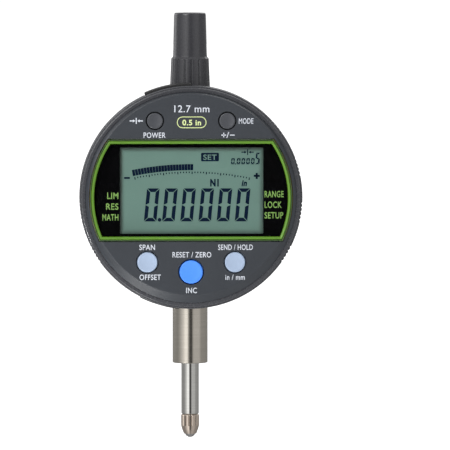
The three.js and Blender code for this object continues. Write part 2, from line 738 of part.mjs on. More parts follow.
function displayBody() {
  const group = new THREE.Group();
  const contact = radialBox(TRAY_ANGLE, 15.45, 15.8, 2, -12.9, -9);
  group.add(
    piece("display_case", displayCase(), DARK_PLASTIC),
    piece("front_bezel", frontBezel(), DARK_PLASTIC),
    piece("window_frame", windowFrame(), GREEN),
    piece("window_mask", windowMask(), BLACK_PLASTIC),
    piece("window_lens", windowLens(), CLEAR),
    piece("lcd_panel", lcdPanel(), LCD_GREY),
    piece("lcd_connector", lcdConnector(), RUBBER),
    piece("display_chassis", displayChassis(), WHITE_PLASTIC),
    piece("keypad_membrane", keypadMembrane(), AMBER_FILM),
    piece("display_board", displayBoard(), CIRCUIT),
    piece("data_socket", dataSocket(), BLACK_PLASTIC),
    piece("battery_contact", solid(contact), BRONZE),
  );
  DISPLAY_SCREW_PLACES.forEach(([x, z], i) => {
    const screw = crossScrew(x, z, 1.6, 0.7, CASE_BACK - 0.05, 0.5, -12.5);
    group.add(piece(`display_screw_${i + 1}`, screw, POLISHED_STEEL));
  });
  return group;
}

// ---- Buttons, each a cap with a flange behind the front cover and a nib on the membrane ----
function button({ x, z, radius, proud }) {
  const front = FACE_FRONT - proud;
  const dish = radius * 0.75;
  const cap = turnedY(
    [
      [0, -14.95],
      [0.9, -14.95],
      [0.9, -15.1],
      [radius + BUTTON_FLANGE, -15.1],
      [radius + BUTTON_FLANGE, -15.7],
      [radius, -15.7],
      [radius, front + 0.25],
      [radius - 0.25, front],
      [dish, front],
      [0, front + 0.12],
    ],
    MEDIUM_CIRCLE,
  );
  return solid(cap.translate(x, 0, FACE_Z + z));
}

// ---- Battery tray ----
const trayPoint = (radius) => polar(radius, TRAY_ANGLE);

function batteryTray() {
  const [x, z] = trayPoint(BATTERY_CENTRE);
  const slab = radialBox(TRAY_ANGLE, 16.15, 29, 6.3, TRAY_FRONT, TRAY_BACK);
  const face = ringSector(PLUG_INNER_RADIUS, TRAY_FACE_RADIUS, TRAY_ANGLE, TRAY_FACE_HALF_ANGLE);
  const frontBlock = faceplate(face, TRAY_FACE_BACK, TRAY_FACE_DEPTH, { curveSegments: 10 });
  const pocket = rodY(x, z, BATTERY_RADIUS + 0.07, -14.5, -7, MEDIUM_CIRCLE);
  const contactSlot = radialBox(TRAY_ANGLE, 15, 17.5, 2.2, -13.2, -8.6);
  return cut(join(solid(slab), [frontBlock]), [pocket, contactSlot]);
}

function battery() {
  const [x, z] = trayPoint(BATTERY_CENTRE);
  const can = turnedY(
    [
      [0, -13.35],
      [4.4, -13.35],
      [4.5, -13.1],
      [BATTERY_RADIUS - 0.3, -13.1],
      [BATTERY_RADIUS, -12.8],
      [BATTERY_RADIUS, -8.3],
      [BATTERY_RADIUS - 0.2, -8.05],
      [0, -8.05],
    ],
    MEDIUM_CIRCLE,
  );
  return solid(can.translate(x, 0, FACE_Z + z));
}

function trayBody() {
  const group = new THREE.Group();
  group.add(
    piece("battery_tray", batteryTray(), BLACK_PLASTIC),
    piece("battery", battery(), POLISHED_STEEL),
  );
  return group;
}

// ---- Cover of the data output ----
function dataPortCover() {
  const face = ringSector(PLUG_INNER_RADIUS, PORT_FACE_RADIUS, PORT_ANGLE, PORT_FACE_HALF_ANGLE);
  const plate = faceplate(face, PORT_FACE_BACK, PORT_FACE_DEPTH, { curveSegments: 10 });
  const tongue = radialBox(PORT_ANGLE, 26.4, 29, 4.1, -10.6, -8.9);
  return join(solid(plate), [tongue]);
}

// ---- The whole indicator ----
const indicator = new THREE.Group();
indicator.add(
  fixedBody(),
  spindleBody(),
  piece("dust_cap", dustCap(), CAP_PLASTIC),
  displayBody(),
  trayBody(),
  piece("data_port_cover", dataPortCover(), BLACK_PLASTIC),
  ...BUTTONS.map((b) => piece(b.name, button(b), finish(b.colour, 0.45))),
);

export default indicator;
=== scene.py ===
"""Looks of a digital dial indicator with a turning round display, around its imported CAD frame.

Lengths here are millimetres, and mesh_piece() turns them into metres. The origin is on the spindle axis.
+Z runs up the spindle, +X is to the right, and the display faces -Y.
"""

from math import asin, atan2, cos, degrees, pi, radians, sin, tan

import bmesh
import bpy
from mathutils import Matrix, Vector

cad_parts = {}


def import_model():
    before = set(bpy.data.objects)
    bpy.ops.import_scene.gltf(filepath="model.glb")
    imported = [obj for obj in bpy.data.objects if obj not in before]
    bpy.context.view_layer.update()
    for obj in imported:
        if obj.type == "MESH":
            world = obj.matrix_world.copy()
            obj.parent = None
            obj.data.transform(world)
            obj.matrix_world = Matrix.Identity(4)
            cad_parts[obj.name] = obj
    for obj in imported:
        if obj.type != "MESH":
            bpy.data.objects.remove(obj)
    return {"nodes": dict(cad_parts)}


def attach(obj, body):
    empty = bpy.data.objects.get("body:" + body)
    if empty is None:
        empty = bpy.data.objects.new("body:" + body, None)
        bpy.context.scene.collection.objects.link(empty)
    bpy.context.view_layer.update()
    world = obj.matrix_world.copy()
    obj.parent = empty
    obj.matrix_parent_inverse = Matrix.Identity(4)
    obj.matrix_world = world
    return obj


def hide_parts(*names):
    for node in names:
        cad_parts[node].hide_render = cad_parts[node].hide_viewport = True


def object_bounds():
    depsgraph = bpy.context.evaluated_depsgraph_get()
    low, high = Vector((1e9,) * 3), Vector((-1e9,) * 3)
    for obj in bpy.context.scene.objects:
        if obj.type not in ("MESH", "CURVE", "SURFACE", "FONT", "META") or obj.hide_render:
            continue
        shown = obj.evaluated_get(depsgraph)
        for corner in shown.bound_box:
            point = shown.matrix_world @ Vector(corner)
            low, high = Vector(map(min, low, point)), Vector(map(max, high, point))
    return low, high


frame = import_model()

CAD_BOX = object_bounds()
MM = 0.001

# ---- Driving dimensions, shared with the CAD model ----
FACE_Z = 38.2  # the display's centre
FACE_FRONT = -17.6
FACE_RADIUS = 26.9
FACE_OFFSET = 0.95  # the flat face sits this much above the display's centre
BODY_RADIUS = 30.0
CASE_BACK = -6.9
CASE_FRONT = -15.8
CASE_WALL = 1.6
CASE_SCREW_CIRCLE = 26
CASE_SCREW_ANGLES = (28, 152, 208, 332)
LIP_RADIUS = 29.45
LIP_BACK = -14.9
BEVEL_BASE = -15.95
BEVEL_RADIUS = 28.35
HOUSING_RADIUS = 27.2
HOUSING_WALL = 2
HOUSING_FRONT = -6.6
HOUSING_BACK = 6.5
BACK_PLATE = 7.0
BACK_FACE = 8.6
BACK_SCREW_CIRCLE = 22.5
HUB_RADIUS = 8.8
HUB_END = -10.0
STEM_RADIUS = 4.7625
STEM_BOTTOM = -7.38
SPINDLE_RADIUS = 2.38
SPINDLE_BOTTOM = -21.3
SPINDLE_TOP = 72.5
WINDOW_RADIUS = 27.3
WINDOW_TOP = 15.8
WINDOW_BOTTOM = -11.7
WINDOW_BAND = 1.3
WINDOW_STEPS = 44  # points up each side
MASK_FRONT = -16.2
LCD_CENTRE = 1.9
LCD_ACROSS = 0.15  # the visible part sits this much to the right of the display's centre
LCD_VIEW = (38.5, 23.2)
LCD_GLASS = (41.6, 27.0)
LCD_FRONT = -15.65
TRAY_ANGLE = 102.0  # angles are degrees anticlockwise from the right
PORT_ANGLE = 253.5
BACK_SCREW_ANGLES = (45, 135, 225, 315)
GRIP_CENTRES = (39.2, 15.9, -7.4, -30.7, 140.8, 164.1, 187.4, 210.7)
GRIP_STEP = 2.1  # degrees
GRIP_DEPTH = 0.27
PRINT_THICKNESS = 0.02
SHARP = 28  # degrees, above which an edge stays sharp
SQUARE = ((-1, -1), (1, -1), (1, 1), (-1, 1))
CLEAR_OF_FACE = -19  # cutting tools start in front of everything

KEYS = {  # x, z from the display's centre, radius, hole radius, how far it stands proud
    "power_button": (-9.7, 20.7, 2.15, 2.4, 0.1),
    "menu_button": (9.7, 20.7, 2.15, 2.4, 0.1),
    "preset_button": (-11.76, -17.26, 2.7, 2.97, 0.35),
    "zero_button": (0.0, -19.87, 3.12, 3.37, 0.4),
    "hold_button": (11.76, -17.26, 2.7, 2.97, 0.35),
}


# ---- Mesh helpers ----
def polar(radius, angle):
    return radius * cos(angle), radius * sin(angle)


def placed(name, data):
    """A new object in the scene."""
    made = bpy.data.objects.new(name, data)
    bpy.context.scene.collection.objects.link(made)
    return made


def finish_mesh(mesh, sharp=SHARP):
    """Faces turned outwards and shaded smooth, with edges above an angle kept sharp."""
    bm = bmesh.new()
    bm.from_mesh(mesh)
    bmesh.ops.remove_doubles(bm, verts=bm.verts, dist=1e-8)
    bmesh.ops.recalc_face_normals(bm, faces=bm.faces)
    bm.to_mesh(mesh)
    bm.free()
    mesh.shade_smooth()
    mesh.set_sharp_from_angle(angle=radians(sharp))


def mesh_piece(name, vertices, faces, sharp=SHARP):
    mesh = bpy.data.meshes.new(name)
    mesh.from_pydata([Vector(v) * MM for v in vertices], [], faces)
    finish_mesh(mesh, sharp)
    return placed(name, mesh)


def apply_modifiers(piece):
    bpy.context.view_layer.update()
    evaluated = piece.evaluated_get(bpy.context.evaluated_depsgraph_get())
    mesh = bpy.data.meshes.new_from_object(evaluated)
    piece.modifiers.clear()
    piece.data = mesh
    mesh.name = piece.name


def joined(name, pieces):
    """Several closed meshes in one object. The separate objects are removed."""
    bm = bmesh.new()
    for piece in pieces:
        bm.from_mesh(piece.data)
    mesh = bpy.data.meshes.new(name)
    bm.to_mesh(mesh)
    bm.free()
    for piece in pieces:
        bpy.data.objects.remove(piece)
    return placed(name, mesh)


def boolean(piece, tools, operation="DIFFERENCE"):
    """Cuts away or joins every tool at once."""
    tool = joined("tool", tools)
    modifier = piece.modifiers.new("boolean", "BOOLEAN")
    modifier.object = tool
    modifier.operation = operation
    modifier.solver = "EXACT"
    apply_modifiers(piece)
    bpy.data.objects.remove(tool)
    finish_mesh(piece.data)


def bevel(piece, width):
    modifier = piece.modifiers.new("bevel", "BEVEL")
    modifier.width = width * MM
    modifier.segments = 3
    modifier.limit_method = "ANGLE"
    modifier.angle_limit = radians(35)
    apply_modifiers(piece)
    finish_mesh(piece.data)


def even_shading(piece):
    """Large flat faces keep a flat shade right up to their rounded edges."""
    modifier = piece.modifiers.new("normals", "WEIGHTED_NORMAL")
    modifier.keep_sharp = True
    apply_modifiers(piece)


def rounded(corners, closed=False, steps=6):
    """Points of an outline. A corner given as (a, b, radius) becomes an arc of that radius."""
    points = []
    last = len(corners) - 1
    for i, corner in enumerate(corners):
        here = Vector(corner[:2])
        radius = corner[2] if len(corner) > 2 else 0
        if radius == 0 or (not closed and i in (0, last)):
            points.append(here)
            continue
        before = (Vector(corners[i - 1][:2]) - here).normalized()
        after = (Vector(corners[(i + 1) % len(corners)][:2]) - here).normalized()
        half = before.angle(after) / 2
        centre = here + (before + after).normalized() * radius / sin(half)
        start = here + before * radius / tan(half) - centre
        end = here + after * radius / tan(half) - centre
        first = atan2(start.y, start.x)
        turn = (atan2(end.y, end.x) - first + pi) % (2 * pi) - pi
        for k in range(steps + 1):
            angle = first + turn * k / steps
            points.append(centre + Vector((cos(angle), sin(angle))) * radius)
    return points


def about_spindle(radius, z, angle):
    return *polar(radius, angle), z


def about_display(radius, y, angle):
    return radius * cos(angle), y, FACE_Z + radius * sin(angle)


def about_place(x, z):
    """About an axis along Y at a place on the face."""
    return lambda radius, y, angle: (x + radius * cos(angle), y, FACE_Z + z + radius * sin(angle))


def evenly(count):
    return [2 * pi * i / count for i in range(count)]


def lathe(name, profile, axis, angles, radius_at=None, closed=False):
    """Turns (radius, height) points about an axis. radius_at(radius, height, angle) shapes the rim."""
    vertices = []
    rings = []
    for radius, height in profile:
        start = len(vertices)
        if radius < 1e-6:
            vertices.append(axis(0, height, 0))
            rings.append([start] * len(angles))
            continue
        rings.append(list(range(start, start + len(angles))))
        for angle in angles:
            shaped = radius_at(radius, height, angle) if radius_at else radius
            vertices.append(axis(shaped, height, angle))
    pairs = list(zip(rings, rings[1:]))
    if closed:
        pairs.append((rings[-1], rings[0]))
    faces = []
    for low, high in pairs:
        for i in range(len(angles)):
            j = (i + 1) % len(angles)
            corners = list(dict.fromkeys((low[i], low[j], high[j], high[i])))
            if len(corners) > 2:
                faces.append(corners)
    return mesh_piece(name, vertices, faces)


def loft(name, loops, closed=False, sharp=SHARP):
    """Joins loops of equally many points. Open lofts are capped at both ends."""
    size = len(loops[0])
    vertices = [point for loop in loops for point in loop]
    pairs = list(zip(range(len(loops)), range(1, len(loops))))
    if closed:
        pairs.append((len(loops) - 1, 0))
    faces = []
    for low, high in pairs:
        for i in range(size):
            j = (i + 1) % size
            faces.append((low * size + i, low * size + j, high * size + j, high * size + i))
    if not closed:
        faces.append(tuple(range(size)))
        faces.append(tuple(range((len(loops) - 1) * size, len(loops) * size)))
    return mesh_piece(name, vertices, faces, sharp)


def on_face(outline, y):
    """An outline of (x, z) points from the display's centre, at a depth."""
    return [(x, y, FACE_Z + z) for x, z in outline]


def plate(name, outline, y0, y1, edge=0.0):
    """A flat plate of that outline. edge rounds its rims."""
    made = loft(name, [on_face(outline, y0), on_face(outline, y1)])
    if edge:
        bevel(made, edge)
    return made


def rectangle(width, height, centre_z=0.0, centre_x=0.0, corner=0.0):
    corners = [(centre_x + x * width / 2, centre_z + z * height / 2, corner) for x, z in SQUARE]
    return rounded(corners, closed=True)


def window_outline(inset):
    """Flat top and bottom, with sides that follow the display's rim."""
    radius = WINDOW_RADIUS - inset
    top = asin((WINDOW_TOP - inset) / radius)
    bottom = asin((WINDOW_BOTTOM + inset) / radius)
    right = [bottom + (top - bottom) * i / WINDOW_STEPS for i in range(WINDOW_STEPS + 1)]
    left = [pi - angle for angle in reversed(right)]
    return [polar(radius, angle) for angle in right + left]


def ring_sector(inner, outer, centre, half, corner=0.0, steps=24):
    """Part of a flat ring about the display's axis, centred on a direction in degrees."""
    span = [radians(centre - half + 2 * half * i / steps) for i in range(steps + 1)]
    outline = [polar(outer, a) for a in span] + [polar(inner, a) for a in reversed(span)]
    if not corner:
        return outline
    ends = (0, steps)
    return rounded([(x, z, corner if i in ends else 0) for i, (x, z) in enumerate(outline)], closed=True)


def radial_rectangle(angle, inner, outer, half_width, corner=0.0):
    """A rectangle that points outwards from the display's centre."""
    turn = radians(angle)
    corners = [(inner, -half_width), (outer, -half_width), (outer, half_width), (inner, half_width)]
    turned = [(r * cos(turn) - w * sin(turn), r * sin(turn) + w * cos(turn), corner) for r, w in corners]
    return rounded(turned, closed=True)


def rod(name, x, z, radius, y0, y1, flare=0.0, steps=64):
    """A rod along Y on the face. flare widens its front end, which leaves a rounded mouth when it cuts."""
    profile = [(0, y1), (radius, y1)]
    if flare:
        arc = [pi / 2 * k / 5 for k in range(6)]
        mouth = FACE_FRONT + flare
        profile += [(radius + flare * (1 - cos(a)), mouth - flare * sin(a)) for a in arc]
        profile.append((radius + flare, y0))
    else:
        profile.append((radius, y0))
    profile.append((0, y0))
    return lathe(name, profile, about_place(x, z), evenly(steps))


# ---- Material helpers ----
def linear(red, green, blue):
    """A shader colour from sRGB values of 0 to 255."""
    def channel(value):
        share = value / 255
        return share / 12.92 if share <= 0.04045 else ((share + 0.055) / 1.055) ** 2.4
    return channel(red), channel(green), channel(blue), 1.0


class Nodes:
    """Adds nodes to a tree and links them."""

    def __init__(self, tree):
        self.tree = tree

    def link(self, source, target):
        self.tree.links.new(source, target)

    def add(self, kind, inputs=(), **settings):
        """A node with its settings, then its inputs by name or number: a socket is linked, a value is set."""
        made = self.tree.nodes.new(kind)
        for key, value in settings.items():
            setattr(made, key, value)
        for key, value in dict(inputs).items():
            if isinstance(value, bpy.types.NodeSocket):
                self.link(value, made.inputs[key])
            else:
                made.inputs[key].default_value = value
        return made

    def place(self):
        return self.add("ShaderNodeTexCoord").outputs["Object"]

    def math(self, operation, first, second):
        return self.add("ShaderNodeMath", {0: first, 1: second}, operation=operation).outputs[0]

    def ranged(self, source, low, high, start=0.3, end=0.7, easing="LINEAR"):
        """Takes values from start to end to values from low to high."""
        inputs = {"Value": source, "From Min": start, "From Max": end, "To Min": low, "To Max": high}
        return self.add("ShaderNodeMapRange", inputs, interpolation_type=easing).outputs["Result"]

    def blend(self, factor, under, over):
        """One colour laid over another where factor is high."""
        return self.add("ShaderNodeMix", {0: factor, 6: under, 7: over}, data_type="RGBA").outputs[2]


class Surface(Nodes):
    """A Principled material whose colour, roughness and bump come from noise in object space."""

    def __init__(self, name, colour, metallic=0.0, **constants):
        self.material = bpy.data.materials.new(name)
        self.material.use_nodes = True
        super().__init__(self.material.node_tree)
        self.shader = self.tree.nodes["Principled BSDF"]
        self.shader.inputs["Metallic"].default_value = metallic
        for socket, value in constants.items():
            self.shader.inputs[socket.replace("_", " ").title().replace("Ior", "IOR")].default_value = value
        self.colour = self.add("ShaderNodeRGB").outputs["Color"]
        self.colour.default_value = colour

    def noise(self, size, stretch=(1, 1, 1), detail=3.0):
        """Noise whose features are about size millimetres, longer along an axis with a small stretch."""
        scale = [s / (size * MM) for s in stretch]
        place = self.add("ShaderNodeMapping", {"Vector": self.place(), "Scale": scale}).outputs["Vector"]
        return self.add("ShaderNodeTexNoise", {"Vector": place, "Scale": 1.0, "Detail": detail}).outputs["Fac"]

    def tint(self, factor, colour):
        """Lays a colour over the surface where factor is high."""
        self.colour = self.blend(factor, self.colour, colour)
        return self

    def mottle(self, size, amount, stretch=(1, 1, 1)):
        """Slight light and dark variation."""
        value = self.ranged(self.noise(size, stretch), 1 - amount, 1 + amount)
        made = self.add("ShaderNodeHueSaturation", {"Value": value, "Color": self.colour})
        self.colour = made.outputs["Color"]
        return self

    def worn_edges(self, colour, amount):
        """Edges rubbed to a lighter colour in patches."""
        pointed = self.add("ShaderNodeNewGeometry").outputs["Pointiness"]
        patches = self.ranged(self.noise(1.2), 0, 1, 0.42, 0.62)
        return self.tint(self.math("MULTIPLY", self.ranged(pointed, 0, amount, 0.52, 0.6), patches), colour)

    def gloss(self, size, low, high, stretch=(1, 1, 1)):
        """Roughness that wanders between low and high."""
        self.link(self.ranged(self.noise(size, stretch), low, high), self.shader.inputs["Roughness"])
        return self

    def bump(self, size, depth, stretch=(1, 1, 1)):
        """Relief of depth millimetres."""
        inputs = {"Strength": 1.0, "Distance": depth * MM, "Height": self.noise(size, stretch, detail=2.0)}
        self.link(self.add("ShaderNodeBump", inputs).outputs["Normal"], self.shader.inputs["Normal"])
        return self

    def done(self):
        self.link(self.colour, self.shader.inputs["Base Color"])
        return self.material


ROUND = (0.02, 0.02, 1.0)  # turning or grinding marks: long round the spindle axis, fine along it
EVEN = (1, 1, 1)


def moulded(name, colour, low, high, grain=0.12, depth=0.004):
    """Moulded plastic with a fine spark-eroded grain."""
    made = Surface(name, colour).mottle(6, 0.05).mottle(0.5, 0.03)
    return made.gloss(0.8, low, high).bump(grain, depth).done()


def machined(name, colour, low, high, stretch=ROUND, pitch=0.12, depth=0.0015):
    """Ground or turned metal."""
    made = Surface(name, colour, metallic=1.0).mottle(0.35, 0.05, stretch).mottle(9, 0.05)
    return made.gloss(0.3, low, high, stretch).bump(pitch, depth, stretch).done()


LOOKS = {
    "face": moulded("face_plastic", linear(43, 47, 53), 0.4, 0.5),
    "case": moulded("case_plastic", linear(60, 61, 65), 0.22, 0.3, depth=0.0012),
    "cap": moulded("cap_plastic", linear(46, 46, 50), 0.26, 0.3, 0.5, 0.0008),
    "black": moulded("black_plastic", linear(16, 16, 18), 0.4, 0.55),
    "rubber": moulded("rubber", linear(28, 28, 29), 0.75, 0.9, 0.2, 0.006),
    "white_plastic": moulded("white_plastic", linear(226, 226, 220), 0.5, 0.62),
    "alloy": Surface("painted_alloy", linear(72, 74, 79), metallic=0.25).mottle(5, 0.05)
    .worn_edges(linear(150, 150, 150), 0.5).gloss(0.6, 0.38, 0.5).bump(0.18, 0.006).done(),
    "stem": machined("ground_stem_steel", linear(188, 182, 172), 0.12, 0.19),
    "spindle": machined("polished_spindle_steel", linear(197, 196, 192), 0.07, 0.12, depth=0.0006),
    "contact": machined("nickel_contact", linear(192, 179, 167), 0.18, 0.24, EVEN, 0.5, 0.001),
    "carbide": machined("carbide_ball", linear(168, 166, 164), 0.1, 0.16, EVEN, 0.2, 0.0005),
    "screw": machined("screw_steel", linear(186, 186, 184), 0.22, 0.32, EVEN, 0.2, 0.003),
    "bronze": machined("bronze", linear(176, 134, 82), 0.3, 0.42),
    "spring": machined("spring_steel", linear(166, 166, 166), 0.22, 0.34, EVEN, 0.2, 0.002),
    "board": moulded("circuit_board", linear(32, 92, 56), 0.35, 0.5, 0.8, 0.01),
    "film": moulded("amber_film", linear(170, 108, 40), 0.25, 0.35),
    "scale_glass": moulded("scale_glass", linear(190, 200, 200), 0.06, 0.1),
    "can": machined("battery_can", linear(196, 196, 192), 0.18, 0.28, EVEN, 0.3, 0.002),
}


def key_look(name, colour, low=0.4, high=0.5):
    return Surface(name, colour).mottle(2.5, 0.02).gloss(0.5, low, high).bump(0.15, 0.002).done()


KEY_FINISHES = {  # material and record slot
    "power_button": (key_look("key_grey_left", linear(60, 62, 67), 0.34, 0.42), "button_grey"),
    "menu_button": (key_look("key_grey_right", linear(60, 62, 67), 0.34, 0.42), "button_grey"),
    "preset_button": (key_look("key_pale_blue_left", linear(144, 160, 183)), "button_pale_blue"),
    "zero_button": (key_look("key_blue", linear(62, 128, 232)), "button_blue"),
    "hold_button": (key_look("key_pale_blue_right", linear(144, 160, 183)), "button_pale_blue"),
}


def print_look(name, colour, shine=0.25):
    """Screen-printed ink, a little uneven."""
    made = Surface(name, colour, specular_ior_level=shine).mottle(0.4, 0.06).mottle(4, 0.04)
    return made.gloss(0.3, 0.5, 0.65).bump(0.1, 0.002).done()


def frame_look(name, colour):
    made = Surface(name, colour, coat_weight=0.1, coat_roughness=0.2)
    return made.mottle(3, 0.05).mottle(0.4, 0.03).gloss(0.6, 0.3, 0.4).bump(0.2, 0.002).done()


def lcd_look_with_painted_shadow():
    """Grey-green reflective LCD, with the shadow that the mask casts over its edges painted on as a soft
    darkening.
    """
    made = Surface("lcd_grey_green", linear(85, 112, 103)).mottle(14, 0.03).mottle(0.3, 0.02)
    made.gloss(2, 0.28, 0.36).bump(0.2, 0.001)
    axes = made.add("ShaderNodeSeparateXYZ", {0: made.place()}).outputs
    up = made.math("SUBTRACT", axes["Z"], (FACE_Z + LCD_CENTRE) * MM)
    right = made.math("SUBTRACT", axes["X"], LCD_ACROSS * MM)
    half_w, half_h = (size / 2 * MM for size in LCD_VIEW)
    # Painted shadow of the mask: the colour darkens softly towards each side of the view, most at the top and
    # left.
    edge = None
    for away, half, reach, share in (
        (made.math("MULTIPLY", right, -1), half_w, 1.45, 0.9),
        (right, half_w, 1.45, 0.65),
        (up, half_h, 1.5, 0.9),
        (made.math("MULTIPLY", up, -1), half_h, 1.3, 0.5),
    ):
        shade = made.ranged(away, 0, share, half - reach * MM, half - 0.15 * MM, "SMOOTHSTEP")
        edge = made.math("MAXIMUM", edge, shade) if edge else shade
    return made.tint(edge, linear(48, 60, 54)).done()


LENS_IOR = 1.25
LENS_COAT = 0.06  # the share of reflected light that the coat takes away


def lens_look():
    """Clear acrylic with an anti-glare coat. It shines at a grazing angle only, and on its outside only."""
    material = bpy.data.materials.new("clear_lens")
    material.use_nodes = True
    made = Nodes(material.node_tree)
    made.tree.nodes.remove(made.tree.nodes["Principled BSDF"])
    haze = made.add("ShaderNodeTexNoise", {"Scale": 90, "Vector": made.place()}).outputs["Fac"]
    fresnel = made.add("ShaderNodeFresnel", {"IOR": LENS_IOR}).outputs["Fac"]
    shine = made.math("MULTIPLY", made.ranged(fresnel, 0, 1, LENS_COAT, 1), made.ranged(haze, 0.85, 1, 0, 1))
    outside = made.math("SUBTRACT", 1, made.add("ShaderNodeNewGeometry").outputs["Backfacing"])
    clear = made.add("ShaderNodeBsdfTransparent").outputs[0]
    gloss = made.add("ShaderNodeBsdfGlossy", {"Roughness": 0.06}).outputs[0]
    mix = made.add("ShaderNodeMixShader", {0: made.math("MULTIPLY", shine, outside), 1: clear, 2: gloss})
    made.link(mix.outputs[0], made.tree.nodes["Material Output"].inputs["Surface"])
    return material


def fit(piece, body, look, slot, *nodes):
    """Gives a finished piece its material and its CAD body, and hides the CAD nodes it stands for. slot is not
    used.
    """
    piece.data.materials.clear()
    piece.data.materials.append(look)
    even_shading(piece)
    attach(piece, body)
    if nodes:
        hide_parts(*nodes)


# ---- Display case ----
def case_angles():
    """Directions for the case's rim: an even spread, plus the flanks of every grip groove."""
    angles = {i * 1.5 for i in range(240)}
    for centre in GRIP_CENTRES:
        low = centre - 2 * GRIP_STEP - 0.7
        high = centre + 2 * GRIP_STEP + 0.7
        angles = {a for a in angles if not low < (a - centre + 180) % 360 - 180 + centre < high}
        for i in range(-2, 3):
            groove = centre + i * GRIP_STEP
            angles |= {round((groove + d) % 360, 3) for d in (-0.62, -0.5, -0.08, 0.08, 0.5, 0.62)}
            if i < 2:
                angles.add(round((groove + GRIP_STEP / 2) % 360, 3))
    return [radians(a) for a in sorted(angles)]


def grip_radius(radius, y, angle):
    """V-shaped grooves cut across the rim in eight groups."""
    if radius < LIP_RADIUS + 0.1 or y > -8.45:
        return radius
    place = degrees(angle)
    for centre in GRIP_CENTRES:
        for i in range(-2, 3):
            away = abs((place - centre - i * GRIP_STEP + 180) % 360 - 180)
            if away < 0.55:
                return min(radius, BODY_RADIUS - GRIP_DEPTH * min(1, (0.55 - away) / 0.42))
    return radius


def display_case():
    hole = HUB_RADIUS + 0.15
    inner = BODY_RADIUS - CASE_WALL
    wall_front = CASE_BACK - 1
    profile = rounded([
        (hole, CASE_BACK), (BODY_RADIUS, CASE_BACK, 0.8),
        (BODY_RADIUS, -8.3), (BODY_RADIUS, -8.6), (BODY_RADIUS, -14.3),
        (BODY_RADIUS, LIP_BACK, 0.32), (LIP_RADIUS, LIP_BACK, 0.08),
        (LIP_RADIUS, CASE_FRONT, 0.3), (inner, CASE_FRONT, 0.05),
        (inner, wall_front, 0.3), (hole, wall_front),
    ], closed=True)
    shell = lathe("display_case_shell", profile, about_display, case_angles(), grip_radius, closed=True)
    tray = plate("cut", radial_rectangle(TRAY_ANGLE, 24, 34, 6.6), -14.15, -7.25)
    port = plate("cut", radial_rectangle(PORT_ANGLE, 24, 34, 5.7), -13.3, -7.75)
    groove = plate("cut", ring_sector(12.1, 13.9, 270, 169, steps=90), CASE_BACK + 0.2, CASE_BACK - 0.75)
    places = [polar(CASE_SCREW_CIRCLE, radians(angle)) for angle in CASE_SCREW_ANGLES]
    holes = [rod("cut", x, z, 1.75, CASE_BACK - 0.65, CASE_BACK + 1, steps=32) for x, z in places]
    boolean(shell, [tray, port, groove, *holes])
    fit(shell, "display", LOOKS["case"], "display_plastic", "display_case")


def front_cover():
    """A raised disc with a leaning bevel, because its flat face sits above the display's centre."""
    profile = rounded([
        (0, CASE_FRONT), (BEVEL_RADIUS, CASE_FRONT), (BEVEL_RADIUS, BEVEL_BASE, 0.07),
        (FACE_RADIUS + 0.08, FACE_FRONT, 0.42), (0, FACE_FRONT),
    ], steps=8)
    disc = lathe("front_cover", profile, about_display, evenly(288))
    for vertex in disc.data.vertices:
        rise = (BEVEL_BASE * MM - vertex.co.y) / ((BEVEL_BASE - FACE_FRONT) * MM)
        vertex.co.z += FACE_OFFSET * MM * min(max(rise, 0), 1)
    wide = window_outline(-0.2)
    narrow = window_outline(-0.05)
    window = loft("cut", [
        on_face(narrow, -15), on_face(narrow, FACE_FRONT + 0.12),
        on_face(wide, FACE_FRONT - 0.01), on_face(wide, CLEAR_OF_FACE),
    ])
    holes = [
        rod("cut", x, z, hole + 0.07, CLEAR_OF_FACE, -15, flare=0.1) for x, z, _, hole, _ in KEYS.values()
    ]
    boolean(disc, [window, *holes])
    fit(disc, "display", LOOKS["face"], "display_plastic", "front_bezel")


def window_frame():
    """A bright bead round the lens, with a fine groove between it and a duller outer lip."""
    bead = [  # inset from the window's outline, depth
        (0.52, -16.3), (0.52, -17.55), (0.6, -17.74), (0.7, -17.8), (0.82, -17.8),
        (1.16, -17.64), (1.24, -17.54), (1.3, -17.36), (1.3, -16.3),
    ]
    lip = [
        (0.14, -16.3), (0.14, -17.42), (0.2, -17.56), (0.3, -17.64),
        (0.38, -17.6), (0.42, -17.4), (0.42, -16.3),
    ]
    for name, section, colour, nodes in (
        ("window_frame_bead", bead, linear(80, 124, 22), ["window_frame"]),
        ("window_frame_lip", lip, linear(58, 84, 40), []),
    ):
        loops = [on_face(window_outline(inset), y) for inset, y in section]
        made = loft(name, loops, closed=True, sharp=24)
        fit(made, "display", frame_look(name, colour), "frame_green", *nodes)


def window_mask():
    """The black printed border behind the lens, open over the LCD."""
    solid = plate("window_mask_print", window_outline(WINDOW_BAND + 0.05), -15.9, MASK_FRONT)
    view = plate("cut", rectangle(*LCD_VIEW, LCD_CENTRE, LCD_ACROSS, 0.25), -15, -17)
    look = Surface("mask_black", linear(4, 4, 5), specular_ior_level=0.03)
    look.mottle(3, 0.1).gloss(1, 0.3, 0.4).bump(0.2, 0.001)
    boolean(solid, [view])
    fit(solid, "display", look.done(), "black_plastic", "window_mask")


def window_lens():
    outline = window_outline(WINDOW_BAND + 0.05)
    inner = window_outline(WINDOW_BAND + 0.13)
    loops = [on_face(outline, -16.25), on_face(outline, -17.12), on_face(inner, -17.2)]
    fit(loft("window_lens_pane", loops), "display", lens_look(), "clear_glass", "window_lens")


def lcd_glass():
    glass = plate("lcd_glass", rectangle(*LCD_GLASS, LCD_CENTRE, corner=0.3), -14.1, LCD_FRONT, 0.1)
    fit(glass, "display", lcd_look_with_painted_shadow(), "lcd_grey_green", "lcd_panel")


# ---- Flat printed and displayed marks ----
CAPITAL_HEIGHT = 0.729  # share of the font's size
LETTER_SPACING = 1.08


